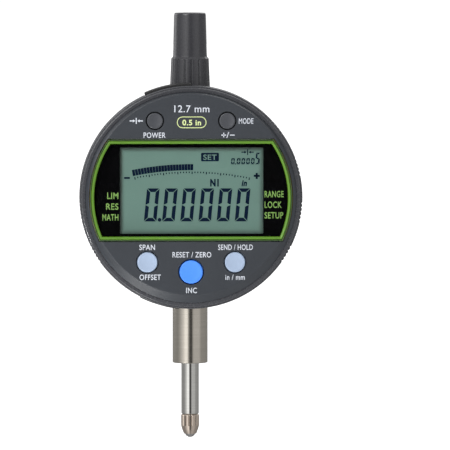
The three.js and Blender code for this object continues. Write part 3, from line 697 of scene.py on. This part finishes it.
class Marks:
    """Collects thin flat shapes, at a depth, as one piece."""

    def __init__(self, y):
        self.y = y
        self.bm = bmesh.new()

    def polygon(self, outline):
        back = [self.bm.verts.new(Vector((x, self.y, FACE_Z + z)) * MM) for x, z in outline]
        front = [
            self.bm.verts.new(Vector((x, self.y - PRINT_THICKNESS, FACE_Z + z)) * MM) for x, z in outline
        ]
        self.bm.faces.new(back)
        self.bm.faces.new(list(reversed(front)))
        for i in range(len(outline)):
            j = (i + 1) % len(outline)
            self.bm.faces.new((back[i], back[j], front[j], front[i]))

    def box(self, x0, x1, z0, z1):
        self.polygon([(x0, z0), (x1, z0), (x1, z1), (x0, z1)])

    def disc(self, x, z, radius, steps=24):
        self.polygon([(x + radius * cos(a), z + radius * sin(a)) for a in evenly(steps)])

    def line(self, start, end, width):
        """A straight stroke between two points."""
        along = Vector(end) - Vector(start)
        side = Vector((-along.y, along.x)).normalized() * width / 2
        a = Vector(start)
        b = Vector(end)
        self.polygon([tuple(a - side), tuple(b - side), tuple(b + side), tuple(a + side)])

    def text(self, words, x, z, height, width, align="CENTER", bold=0.03, slant=0.0):
        """Lettering with its capitals height tall, its middle at z, and its whole width fitted."""
        curve = bpy.data.curves.new("words", "FONT")
        curve.body = words
        curve.size = height / CAPITAL_HEIGHT
        curve.offset = bold
        curve.shear = slant
        curve.space_character = LETTER_SPACING
        curve.extrude = PRINT_THICKNESS / 2
        curve.resolution_u = 5
        written = placed("words", curve)
        bpy.context.view_layer.update()
        mesh = bpy.data.meshes.new_from_object(written.evaluated_get(bpy.context.evaluated_depsgraph_get()))
        left = min(v.co.x for v in mesh.vertices)
        right = max(v.co.x for v in mesh.vertices)
        stretch = width / (right - left)
        anchor = {"LEFT": left, "CENTER": (left + right) / 2, "RIGHT": right}[align]
        for v in mesh.vertices:
            across = (v.co.x - anchor) * stretch
            depth = self.y - PRINT_THICKNESS / 2 - v.co.z
            v.co = Vector((x + across, depth, FACE_Z + z + v.co.y - height / 2)) * MM
        self.bm.from_mesh(mesh)
        bpy.data.objects.remove(written)
        bpy.data.curves.remove(curve)
        bpy.data.meshes.remove(mesh)

    def piece(self, name, look, slot):
        mesh = bpy.data.meshes.new(name)
        bmesh.ops.recalc_face_normals(self.bm, faces=self.bm.faces)
        self.bm.to_mesh(mesh)
        self.bm.free()
        mesh.materials.append(look)
        made = placed(name, mesh)
        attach(made, "display")


SEGMENTS = {"0": "abcdef", "5": "acdfg"}
DIGIT_SLANT = 0.098


def seven_segment(marks, digit, x, z, width, height, stroke):
    """A slanted seven-segment digit with mitred segment ends, its lower left corner at x, z."""
    gap = stroke * 0.13
    half = height / 2
    tip = stroke * 0.52
    top = [
        (gap, height), (width - gap, height),
        (width - stroke - gap, height - stroke), (stroke + gap, height - stroke),
    ]
    upper = [
        (0, height - gap), (stroke, height - stroke - gap), (stroke, half + tip),
        (stroke * 0.25, half + gap), (0, half + gap),
    ]
    middle = [
        (stroke * 0.4, half), (stroke, half + stroke * 0.45), (width - stroke, half + stroke * 0.45),
        (width - stroke * 0.4, half), (width - stroke, half - stroke * 0.45), (stroke, half - stroke * 0.45),
    ]

    def flipped(outline, across, over):
        return [(width - a if across else a, height - b if over else b) for a, b in outline]

    shapes = {
        "a": top,
        "d": flipped(top, False, True),
        "f": upper,
        "b": flipped(upper, True, False),
        "e": flipped(upper, False, True),
        "c": flipped(upper, True, True),
        "g": middle,
    }
    for segment in SEGMENTS[digit]:
        marks.polygon([(x + a + b * DIGIT_SLANT, z + b) for a, b in shapes[segment]])


def arrows_to_bar(marks, x, z, size):
    """Two arrows that point at an upright bar from both sides."""
    marks.line((x, z - size * 0.5), (x, z + size * 0.5), size * 0.17)
    for side in (-1, 1):
        tip = x + side * size * 0.16
        barb = tip + side * size * 0.42
        marks.polygon([(tip, z), (barb, z + size * 0.24), (barb, z - size * 0.24)])
        marks.line((tip + side * size * 0.4, z), (tip + side * size * 0.95, z), size * 0.17)


SCALE_TOP = 6.88
SCALE_ARCH = 76.5


def scale_height(x):
    """The bar graph's base line is a shallow arch, which leans by x / SCALE_ARCH."""
    return SCALE_TOP - x * x / (2 * SCALE_ARCH)


def lcd_marks():
    ink = print_look("lcd_ink", linear(3, 18, 38), 0.06)
    depth = LCD_FRONT - 0.005
    marks = Marks(depth)
    for i in range(6):
        seven_segment(marks, "0", -12.66 + i * 4.88, -6.39, 3.36, 8.87, 0.96)
    marks.disc(-8.45, -5.95, 0.5)
    marks.piece("lcd_digits", ink, "black_plastic")

    marks = Marks(depth)
    count = 21
    pitch = 16.2 / count
    for i in range(count):
        x = -15.6 + (i + 0.5) * pitch
        base = scale_height(x) + 0.5
        lean = x / SCALE_ARCH
        marks.line((x, base), (x + 1.62 * lean, base + 1.62), pitch * 0.94)
    for i in range(41):
        x = -15.1 + i * 0.77
        base = scale_height(x) + 0.12
        tall = 0.66 if i % 5 == 0 else 0.4
        marks.line((x, base), (x - tall * x / SCALE_ARCH, base - tall), 0.27)
    marks.box(-17.95, -16.4, 5.05, 5.55)  # a minus at one end and a plus at the other
    marks.box(16.85, 18.45, 5.55, 6.1)
    marks.box(17.37, 17.93, 5.0, 6.6)
    marks.piece("lcd_bar_graph", ink, "black_plastic")

    marks = Marks(depth)
    marks.polygon(rectangle(4.8, 2.3, 10.9, 5.1, corner=0.3))
    arrows_to_bar(marks, 15.2, 12.2, 1.5)
    for i in range(5):
        seven_segment(marks, "0", 10.7 + i * 1.27 + (0.25 if i else 0), 8.95, 0.95, 1.65, 0.36)
    marks.disc(11.9, 9.03, 0.17, 12)
    seven_segment(marks, "5", 17.2, 8.95, 1.15, 3.1, 0.44)
    marks.text("N1", 6.3, 4.05, 1.9, 2.3, bold=0.13)
    marks.text("in", 14.3, 3.95, 1.6, 1.5, bold=0.1, slant=0.2)
    marks.piece("lcd_symbols", ink, "black_plastic")

    marks = Marks(LCD_FRONT - 0.03)
    marks.text("SET", 5.1, 10.9, 1.45, 3.6)
    marks.piece("lcd_box_text", print_look("lcd_box_text", linear(88, 115, 106)), "lcd_grey_green")


WHITE_LEGENDS = [  # words, x, z, width
    ("POWER", -9.8, 16.9, 5.9),
    ("MODE", 14.75, 20.7, 3.9),
    ("SPAN", -11.8, -13.2, 4.2),
    ("OFFSET", -11.0, -21.25, 5.7),
    ("RESET / ZERO", 0.2, -15.2, 10.4),
    ("INC", 0.1, -24.8, 2.9),
    ("SEND / HOLD", 11.9, -13.2, 9.3),
    ("in / mm", 11.8, -21.25, 5.2),
]
GREEN_LEGENDS = [  # words, x, z, width, side that is aligned
    ("LIM", -19.5, 0.6, 3.0, "RIGHT"),
    ("RES", -19.5, -2.3, 3.3, "RIGHT"),
    ("MATH", -19.5, -5.2, 4.3, "RIGHT"),
    ("RANGE", 19.75, 1.0, 5.1, "LEFT"),
    ("LOCK", 19.75, -1.85, 4.6, "LEFT"),
    ("SETUP", 19.75, -4.7, 5.0, "LEFT"),
]


def legends():
    white = print_look("legend_white", linear(190, 194, 202))
    marks = Marks(FACE_FRONT)
    for words, x, z, width in WHITE_LEGENDS:
        marks.text(words, x, z, 1.5, width, bold=0.018)
    marks.text("12.7 mm", 0.2, 24.0, 1.95, 9.4, bold=0.018)
    marks.box(8.1, 9.4, 16.75, 17.0)  # plus, stroke and minus under the right grey key
    marks.box(8.63, 8.87, 16.25, 17.5)
    marks.line((9.55, 16.1), (10.1, 17.7), 0.2)
    marks.box(10.4, 11.7, 16.75, 17.0)
    arrows_to_bar(marks, -14.7, 20.7, 1.6)
    marks.piece("legends_white", white, "white_plastic")

    marks = Marks(MASK_FRONT)
    for words, x, z, width, side in GREEN_LEGENDS:
        marks.text(words, x, z, 1.75, width, side, bold=0.035)
    marks.piece("legends_green", print_look("legend_green", linear(110, 146, 74)), "frame_green")

    marks = Marks(FACE_FRONT)
    marks.text("0.5 in", 0.15, 20.3, 1.5, 5.0, bold=0.05)
    outer = rectangle(7.9, 3.1, 20.3, 0.15, corner=1.5)
    inner = rectangle(7.5, 2.7, 20.3, 0.15, corner=1.3)
    for i in range(len(outer)):
        j = (i + 1) % len(outer)
        marks.polygon([outer[i], outer[j], inner[j], inner[i]])
    marks.piece("legend_range", print_look("legend_pale_green", linear(196, 208, 146)), "frame_green")


# ---- Keys ----
def keys():
    for name, (x, z, radius, _, proud) in KEYS.items():
        front = FACE_FRONT - proud
        dish = [(radius * 0.86 * k / 8, front + 0.2 * (1 - (k / 8) ** 2)) for k in range(8)]
        profile = [*dish, *rounded([
            (radius * 0.86, front), (radius, front, 0.26), (radius, -15.7, 0.05),
            (radius + 0.45, -15.7, 0.08), (radius + 0.45, -15.1),
            (0.9, -15.1), (0.9, -14.95), (0, -14.95),
        ])]
        cap = lathe(f"{name}_cap", profile, about_place(x, z), evenly(96))
        fit(cap, name, *KEY_FINISHES[name], name)


# ---- Stem, spindle and contact point ----
def stem():
    profile = rounded([
        (3.3, STEM_BOTTOM, 0.1), (STEM_RADIUS, STEM_BOTTOM, 0.28), (STEM_RADIUS, 13, 0.1), (3.3, 13),
    ], closed=True)
    made = lathe("stem_sleeve", profile, about_spindle, evenly(160), closed=True)
    fit(made, "housing", LOOKS["stem"], "stem_steel", "stem")
    inner = SPINDLE_RADIUS + 0.06
    bush = rounded([(inner, -7.1, 0.12), (3.25, -7.1, 0.1), (3.25, -1), (inner, -1)], closed=True)
    made = lathe("stem_bushing_ring", bush, about_spindle, evenly(96), closed=True)
    fit(made, "housing", LOOKS["bronze"], "bronze", "stem_bushing")


def spindle():
    profile = rounded([
        (0, SPINDLE_BOTTOM + 5), (1.25, SPINDLE_BOTTOM + 5), (1.25, SPINDLE_BOTTOM),
        (SPINDLE_RADIUS, SPINDLE_BOTTOM, 0.25), (SPINDLE_RADIUS, SPINDLE_TOP, 0.25),
        (1.05, SPINDLE_TOP, 0.1), (1.05, SPINDLE_TOP - 4), (0, SPINDLE_TOP - 4),
    ])
    made = lathe("spindle_rod", profile, about_spindle, evenly(128))
    fit(made, "spindle", LOOKS["spindle"], "spindle_steel", "spindle")


CONTACT_FLUTES = 18


def fluted(radius, z, angle):
    """Shallow V flutes round the contact point's grip."""
    if radius < 2.3 or not -24.5 < z < -21.6:
        return radius
    pitch = 2 * pi / CONTACT_FLUTES
    away = abs((angle + pitch / 2) % pitch - pitch / 2)
    depth = 0.17 * max(0, 1 - away / radians(5.2))
    return radius - depth


def contact_point():
    top = SPINDLE_BOTTOM - 0.05
    ball = 1.5  # radius
    tip = -27.7
    profile = rounded([
        (0, top + 4.3), (1.2, top + 4.3), (1.2, top), (2.14, top, 0.08), (2.46, top - 0.35, 0.1),
        (2.46, -22.2), (2.46, -23.3), (2.46, -24.0), (2.44, -24.5, 0.15),
        (2.14, -25.6, 4.0), (1.7, -26.7, 0.1), (1.0, -26.78), (0, -26.78),
    ])
    flute = 360 / CONTACT_FLUTES
    offsets = (0, 1.2, 2.6, 4.0, 5.3, 7.6, 10, 12.4, 14.7, 16, 17.4, 18.8)
    angles = [radians(i * flute + offset) for i in range(CONTACT_FLUTES) for offset in offsets]
    body = lathe("contact_point_body", profile, about_spindle, angles, fluted)
    fit(body, "spindle", LOOKS["contact"], "contact_nickel", "contact_point")
    centre = tip + ball
    arc = [(ball * sin(pi * k / 40), centre - ball * cos(pi * k / 40)) for k in range(41)]
    made = lathe("contact_ball_tip", arc, about_spindle, evenly(80))
    fit(made, "spindle", LOOKS["carbide"], "carbide", "contact_ball")


# ---- Dust cap ----
CAP_BOTTOM = 66.3
CAP_SHOULDER = 75.0
CAP_TOP = 87.4
CAP_GROOVES = 16
CAP_GROOVE_HALF_WIDTH = 0.3
CAP_GROOVE_DEPTH = 0.2
CAP_GROOVE_PHASE = radians(5.2)


def cap_radius(radius, z, angle):
    """Sixteen narrow round-bottomed grooves in the skirt, which run out at its shoulder."""
    if radius < 4.8 or z > CAP_SHOULDER + 0.2:
        return radius
    pitch = 2 * pi / CAP_GROOVES
    away = abs((angle - CAP_GROOVE_PHASE + pitch / 2) % pitch - pitch / 2)
    half = CAP_GROOVE_HALF_WIDTH / radius
    if away >= half:
        return radius
    ending = min(1, max(0, (CAP_SHOULDER + 0.1 - z) / 0.35))
    return radius - CAP_GROOVE_DEPTH * ending * (1 - (away / half) ** 2)


def dust_cap():
    rise = [0, 0.2, 0.4, 0.6, 0.8, 0.92, 0.95, 0.97, 0.985, 1]
    skirt = [(5.45 - 0.35 * t, CAP_BOTTOM + 0.3 + (CAP_SHOULDER - CAP_BOTTOM - 0.5) * t) for t in rise]
    outside = [
        *rounded([(3.95, CAP_BOTTOM), (5.45, CAP_BOTTOM, 0.15), skirt[0]]),
        *skirt[1:],
        *rounded([
            skirt[-1], (5.09, CAP_SHOULDER + 0.02, 0.1), (4.62, CAP_SHOULDER + 0.58, 0.12),
            (4.58, CAP_SHOULDER + 1.2), (4.29, CAP_TOP - 0.6), (4.14, CAP_TOP, 0.3),
            (3.72, CAP_TOP, 0.1), (3.5, CAP_TOP - 0.5, 0.1), (0, CAP_TOP - 0.5),
        ])[1:],
    ]
    bore = [(0, CAP_TOP - 1.2), (3.1, CAP_TOP - 1.2), (3.1, 72.3), (3.95, 72.3), (3.95, CAP_BOTTOM)]
    pitch = 2 * pi / CAP_GROOVES
    half = CAP_GROOVE_HALF_WIDTH / 5.2
    offsets = [half * k / 4 for k in range(-4, 5)]
    offsets += [half * 1.2 + (pitch - 2.4 * half) * k / 6 for k in range(7)]
    angles = [CAP_GROOVE_PHASE + i * pitch + offset for i in range(CAP_GROOVES) for offset in offsets]
    made = lathe("dust_cap_shell", outside + bore, about_spindle, angles, cap_radius)
    fit(made, "dust_cap", LOOKS["cap"], "cap_plastic", "dust_cap")


def collar():
    inner = 3.1
    threads = []
    z = 66.5
    while z < 71.4:
        threads += [(3.9, z), (3.9, z + 0.12), (3.7, z + 0.3), (3.9, z + 0.48)]
        z += 0.6
    profile = [(inner, 62), (3.9, 62), *threads, (3.9, 71.75), (3.7, 72), (inner, 72)]
    made = lathe("top_collar_tube", profile, about_spindle, evenly(128), closed=True)
    fit(made, "housing", LOOKS["screw"], "screw_steel", "top_collar")


# ---- Housing and back ----
def housing():
    inner = HOUSING_RADIUS - HOUSING_WALL
    wall = HOUSING_FRONT + 1.6
    bore = 6.6
    profile = rounded([
        (bore, HUB_END, 0.1), (HUB_RADIUS, HUB_END, 0.2), (HUB_RADIUS, HOUSING_FRONT),
        (HOUSING_RADIUS, HOUSING_FRONT, 0.7), (HOUSING_RADIUS, HOUSING_BACK, 0.15),
        (inner, HOUSING_BACK, 0.1), (inner, wall), (bore, wall),
    ], closed=True)
    shell = lathe("housing_shell", profile, about_display, evenly(256), closed=True)
    bosses = [
        rounded([(0, 9.0), (6.5, 9.0, 0.5), (6.5, 13.6), (0, 13.6)]),
        rounded([(0, 62.2), (5.9, 62.2), (5.9, 66.0, 0.5), (0, 66.0)]),
    ]
    bores = [[(0, 0), (4.82, 0), (4.82, 20), (0, 20)], [(0, 58), (3.95, 58), (3.95, 68), (0, 68)]]
    for shapes, operation in ((bosses, "UNION"), (bores, "DIFFERENCE")):
        boolean(shell, [lathe("tool", shape, about_spindle, evenly(96)) for shape in shapes], operation)
    fit(shell, "housing", LOOKS["alloy"], "housing_alloy", "main_housing")


BACK_SCREWS = [polar(BACK_SCREW_CIRCLE, radians(angle)) for angle in BACK_SCREW_ANGLES]


def back_plate():
    profile = rounded([
        (0, BACK_PLATE), (HOUSING_RADIUS, BACK_PLATE, 0.1), (HOUSING_RADIUS, BACK_FACE, 0.5), (0, BACK_FACE),
    ])
    disc = lathe("back_plate", profile, about_display, evenly(256))
    boolean(disc, [rod("cut", x, z, 2.2, BACK_FACE - 0.9, 9.5) for x, z in BACK_SCREWS])
    fit(disc, "housing", LOOKS["alloy"], "housing_alloy", "back_cover")


def back_screws():
    """Pan heads with a cross recess, each turned a little differently."""
    profile = rounded([
        (0, BACK_FACE - 0.05), (1.2, BACK_FACE - 0.07), (2.0, BACK_FACE - 0.2, 0.2),
        (2.0, BACK_FACE - 0.85), (0.85, BACK_FACE - 0.85), (0.85, 1.7), (0.6, 1.5), (0, 1.5),
    ])
    for number, (x, z) in enumerate(BACK_SCREWS, 1):
        screw = lathe(f"back_screw_{number}", profile, about_place(x, z), evenly(64))
        turned = radians(20 + 37 * number)
        for slot in (turned, turned + pi / 2):
            outline = [
                (x + a * cos(slot) - b * sin(slot), z + a * sin(slot) + b * cos(slot))
                for a, b in ((1.15 * i, 0.19 * j) for i, j in SQUARE)
            ]
            boolean(screw, [plate("cut", outline, BACK_FACE - 0.55, BACK_FACE + 1)])
        fit(screw, "housing", LOOKS["screw"], "screw_steel", f"back_cover_screw_{number}")


# ---- Battery tray and data output cover ----
def battery_tray():
    x, z = polar(22.4, radians(TRAY_ANGLE))  # the battery's centre
    slab = plate("battery_tray_drawer", radial_rectangle(TRAY_ANGLE, 16.15, 29, 6.3, 0.5), -13.4, -8)
    pocket = rod("cut", x, z, 5.87, -14.5, -7)
    boolean(slab, [pocket])
    slot = plate("cut", radial_rectangle(TRAY_ANGLE, 15, 17.5, 2.2), -13.2, -8.6)
    boolean(slab, [slot])
    front = plate("tool", ring_sector(28.5, 30.65, TRAY_ANGLE, 12.2), -14.05, -7.35, 0.3)
    boolean(slab, [front], "UNION")
    nail_slot = plate("cut", ring_sector(30.25, 31.5, TRAY_ANGLE, 3.4), -9.0, -8.1)
    boolean(slab, [nail_slot])
    fit(slab, "battery_tray", LOOKS["black"], "black_plastic", "battery_tray")
    profile = rounded([
        (0, -13.35), (4.4, -13.35, 0.12), (4.5, -13.1), (5.8, -13.1, 0.3), (5.8, -8.05, 0.25), (0, -8.05),
    ])
    cell = lathe("battery_cell", profile, about_place(x, z), evenly(96))
    fit(cell, "battery_tray", LOOKS["can"], "battery_steel", "battery")


def port_cover():
    cover = plate("data_port_cover_plug", ring_sector(28.5, 30.3, PORT_ANGLE, 10.6), -13.2, -7.85, 0.2)
    tongue = plate("tool", radial_rectangle(PORT_ANGLE, 26.4, 29, 4.1), -10.6, -8.9, 0.15)
    boolean(cover, [tongue], "UNION")
    nail_slot = plate("cut", ring_sector(29.75, 31, PORT_ANGLE, 2.6), -13.4, -12.5)
    boolean(cover, [nail_slot])
    fit(cover, "data_port_cover", LOOKS["black"], "black_plastic", "data_port_cover")


# ---- Finishes of the CAD nodes that stay ----
CAD_FINISHES = {
    "alloy": ["scale_carrier"],
    "bronze": ["top_bushing", "guide_rail", "battery_contact"],
    "screw": [
        *(f"display_screw_{number}" for number in range(1, 5)), "guide_rail_screw_1", "guide_rail_screw_2",
        "carrier_set_screw", "guide_pin", "spindle_end_screw", "retaining_ring",
    ],
    "spring": ["measuring_spring"],
    "rubber": ["back_gasket", "stem_bumper", "lcd_connector"],
    "board": ["detector_board", "signal_board", "display_board"],
    "film": ["flex_coil", "keypad_membrane"],
    "white_plastic": ["display_chassis", "friction_washer"],
    "scale_glass": ["main_scale"],
    "black": ["data_socket"],
}


def finish_cad_nodes():
    for look, names in CAD_FINISHES.items():
        for name in names:
            node = frame["nodes"][name]
            node.data.materials.clear()
            node.data.materials.append(LOOKS[look])


# ---- Studio ----
STUDIO = [  # azimuth seen from the camera, positive to the right, and brightness of the surroundings
    (-180, 0.36), (-130, 0.4), (-88, 0.38), (-71, 0.56), (-56, 0.86), (-41, 1.2), (-34, 1.6), (-19, 1.6),
    (-9, 0.3), (1, 0.08), (12, 0.09), (18, 0.64), (28, 0.72), (45, 0.68), (60, 0.7), (76, 0.45),
    (110, 0.42), (140, 0.34), (180, 0.36),
]
CEILING = (0.85, 0.85, 0.85, 1)
CEILING_SPAN = (0.45, 0.9)  # heights of a direction between which the panels fade into it
GROUND = (0.55, 0.55, 0.55, 1)
GROUND_SPAN = (-0.66, -0.93)
CAMERA_WHITE = 1.05


def world():
    """A white surround for the camera. Everything else sees soft upright panels at both sides of it."""
    scene_world = bpy.data.worlds.new("studio")
    bpy.context.scene.world = scene_world
    scene_world.use_nodes = True
    made = Nodes(scene_world.node_tree)
    made.tree.nodes.clear()
    direction = made.add("ShaderNodeTexCoord").outputs["Generated"]
    axes = made.add("ShaderNodeSeparateXYZ", {0: direction}).outputs
    azimuth = made.math("ARCTAN2", axes["X"], made.math("MULTIPLY", axes["Y"], -1))
    panels = made.add("ShaderNodeValToRGB", {"Fac": made.ranged(azimuth, 0, 1, -pi, pi)})
    stops = panels.color_ramp.elements
    for i, (angle, bright) in enumerate(STUDIO):
        place = (angle + 180) / 360
        stop = stops[i] if i < 2 else stops.new(place)
        stop.position = place
        stop.color = (bright, bright, bright, 1)
    high = made.ranged(axes["Z"], 0, 1, *CEILING_SPAN)
    low = made.ranged(axes["Z"], 0, 1, *GROUND_SPAN)
    shades = made.blend(low, made.blend(high, panels.outputs["Color"], CEILING), GROUND)
    studio = made.add("ShaderNodeBackground", {"Color": shades}).outputs[0]
    plain = made.add("ShaderNodeBackground", {"Color": (1, 1, 1, 1), "Strength": CAMERA_WHITE}).outputs[0]
    seen = made.add("ShaderNodeLightPath").outputs["Is Camera Ray"]
    mix = made.add("ShaderNodeMixShader", {0: seen, 1: studio, 2: plain}).outputs[0]
    made.add("ShaderNodeOutputWorld", {"Surface": mix})


FLOOR_DROP = 0.35  # metres below the contact point
FLOOR_HALF = 15.0  # metres


def floor():
    low = CAD_BOX[0][2] - FLOOR_DROP
    corners = [(x * FLOOR_HALF, y * FLOOR_HALF, low) for x, y in SQUARE]
    mesh = bpy.data.meshes.new("floor")
    mesh.from_pydata(corners, [], [(0, 1, 2, 3)])
    made = placed("floor", mesh)
    look = Surface("floor_paper", (0.9, 0.9, 0.9, 1), emission_color=(1, 1, 1, 1), emission_strength=0.7)
    look.mottle(200, 0.01).gloss(50, 0.85, 0.95)
    mesh.materials.append(look.done())
    made.visible_glossy = False


def looking_from(azimuth, elevation):
    """A unit vector from the object, with the azimuth in degrees from its front, positive to the right."""
    turn = radians(azimuth)
    rise = radians(elevation)
    return Vector((sin(turn) * cos(rise), -cos(turn) * cos(rise), sin(rise)))


def aim(made, target, azimuth, elevation, distance):
    """Points a lamp or camera at a target in millimetres, from a distance in metres."""
    direction = looking_from(azimuth, elevation)
    made.location = target * MM + direction * distance
    made.rotation_euler = direction.to_track_quat("Z", "Y").to_euler()


LAMPS = [  # name, azimuth, elevation, distance, size, watts, spread, target from the display's centre
    ("key_left", -38, 32, 1.3, 0.7, 9, 180, (0, 0, 0)),
    ("fill_right", 50, 15, 1.5, 0.9, 1, 180, (0, 0, 0)),
    ("edge_high", -126, 14, 0.2, 0.12, 0.0095, 50, (0, 0, 32)),
    ("edge_low", -122, -20, 0.15, 0.035, 0.0048, 18, (-23, 0, -11)),
    ("bevel_low", -48, -57, 0.12, 0.035, 0.002, 28, (-16, -16, -22)),
    ("rear", 160, 40, 1.4, 0.9, 6, 180, (0, 0, 0)),
]


def lamps():
    """Soft square lamps. A spread below 180 degrees narrows a lamp's beam to the rim or its bevel."""
    for name, azimuth, elevation, distance, size, watts, spread, offset in LAMPS:
        light = bpy.data.lights.new(name, "AREA")
        light.size = size
        light.energy = watts
        light.spread = radians(spread)
        made = placed(name, light)
        aim(made, Vector((0, 0, FACE_Z)) + Vector(offset), azimuth, elevation, distance)
        made.visible_camera = False


CAMERA_TARGET = (9.47, 0, 29.92)
CAMERA_AZIMUTH = -1.25
CAMERA_ELEVATION = 3.3
CAMERA_DISTANCE = 1.8  # metres
CAMERA_LENS = 531.5


def camera():
    """A long lens, a little to the left of square on and a little above."""
    data = bpy.data.cameras.new("camera")
    data.lens = CAMERA_LENS
    data.sensor_width = 36
    data.clip_end = 60
    made = placed("camera", data)
    aim(made, Vector(CAMERA_TARGET), CAMERA_AZIMUTH, CAMERA_ELEVATION, CAMERA_DISTANCE)
    bpy.context.scene.camera = made


camera()
world()
floor()
lamps()
bpy.context.scene.view_settings.view_transform = "Standard"

display_case()
front_cover()
window_frame()
window_mask()
window_lens()
lcd_glass()
lcd_marks()
legends()
keys()
stem()
spindle()
contact_point()
dust_cap()
collar()
housing()
back_plate()
back_screws()
battery_tray()
port_cover()
finish_cad_nodes()
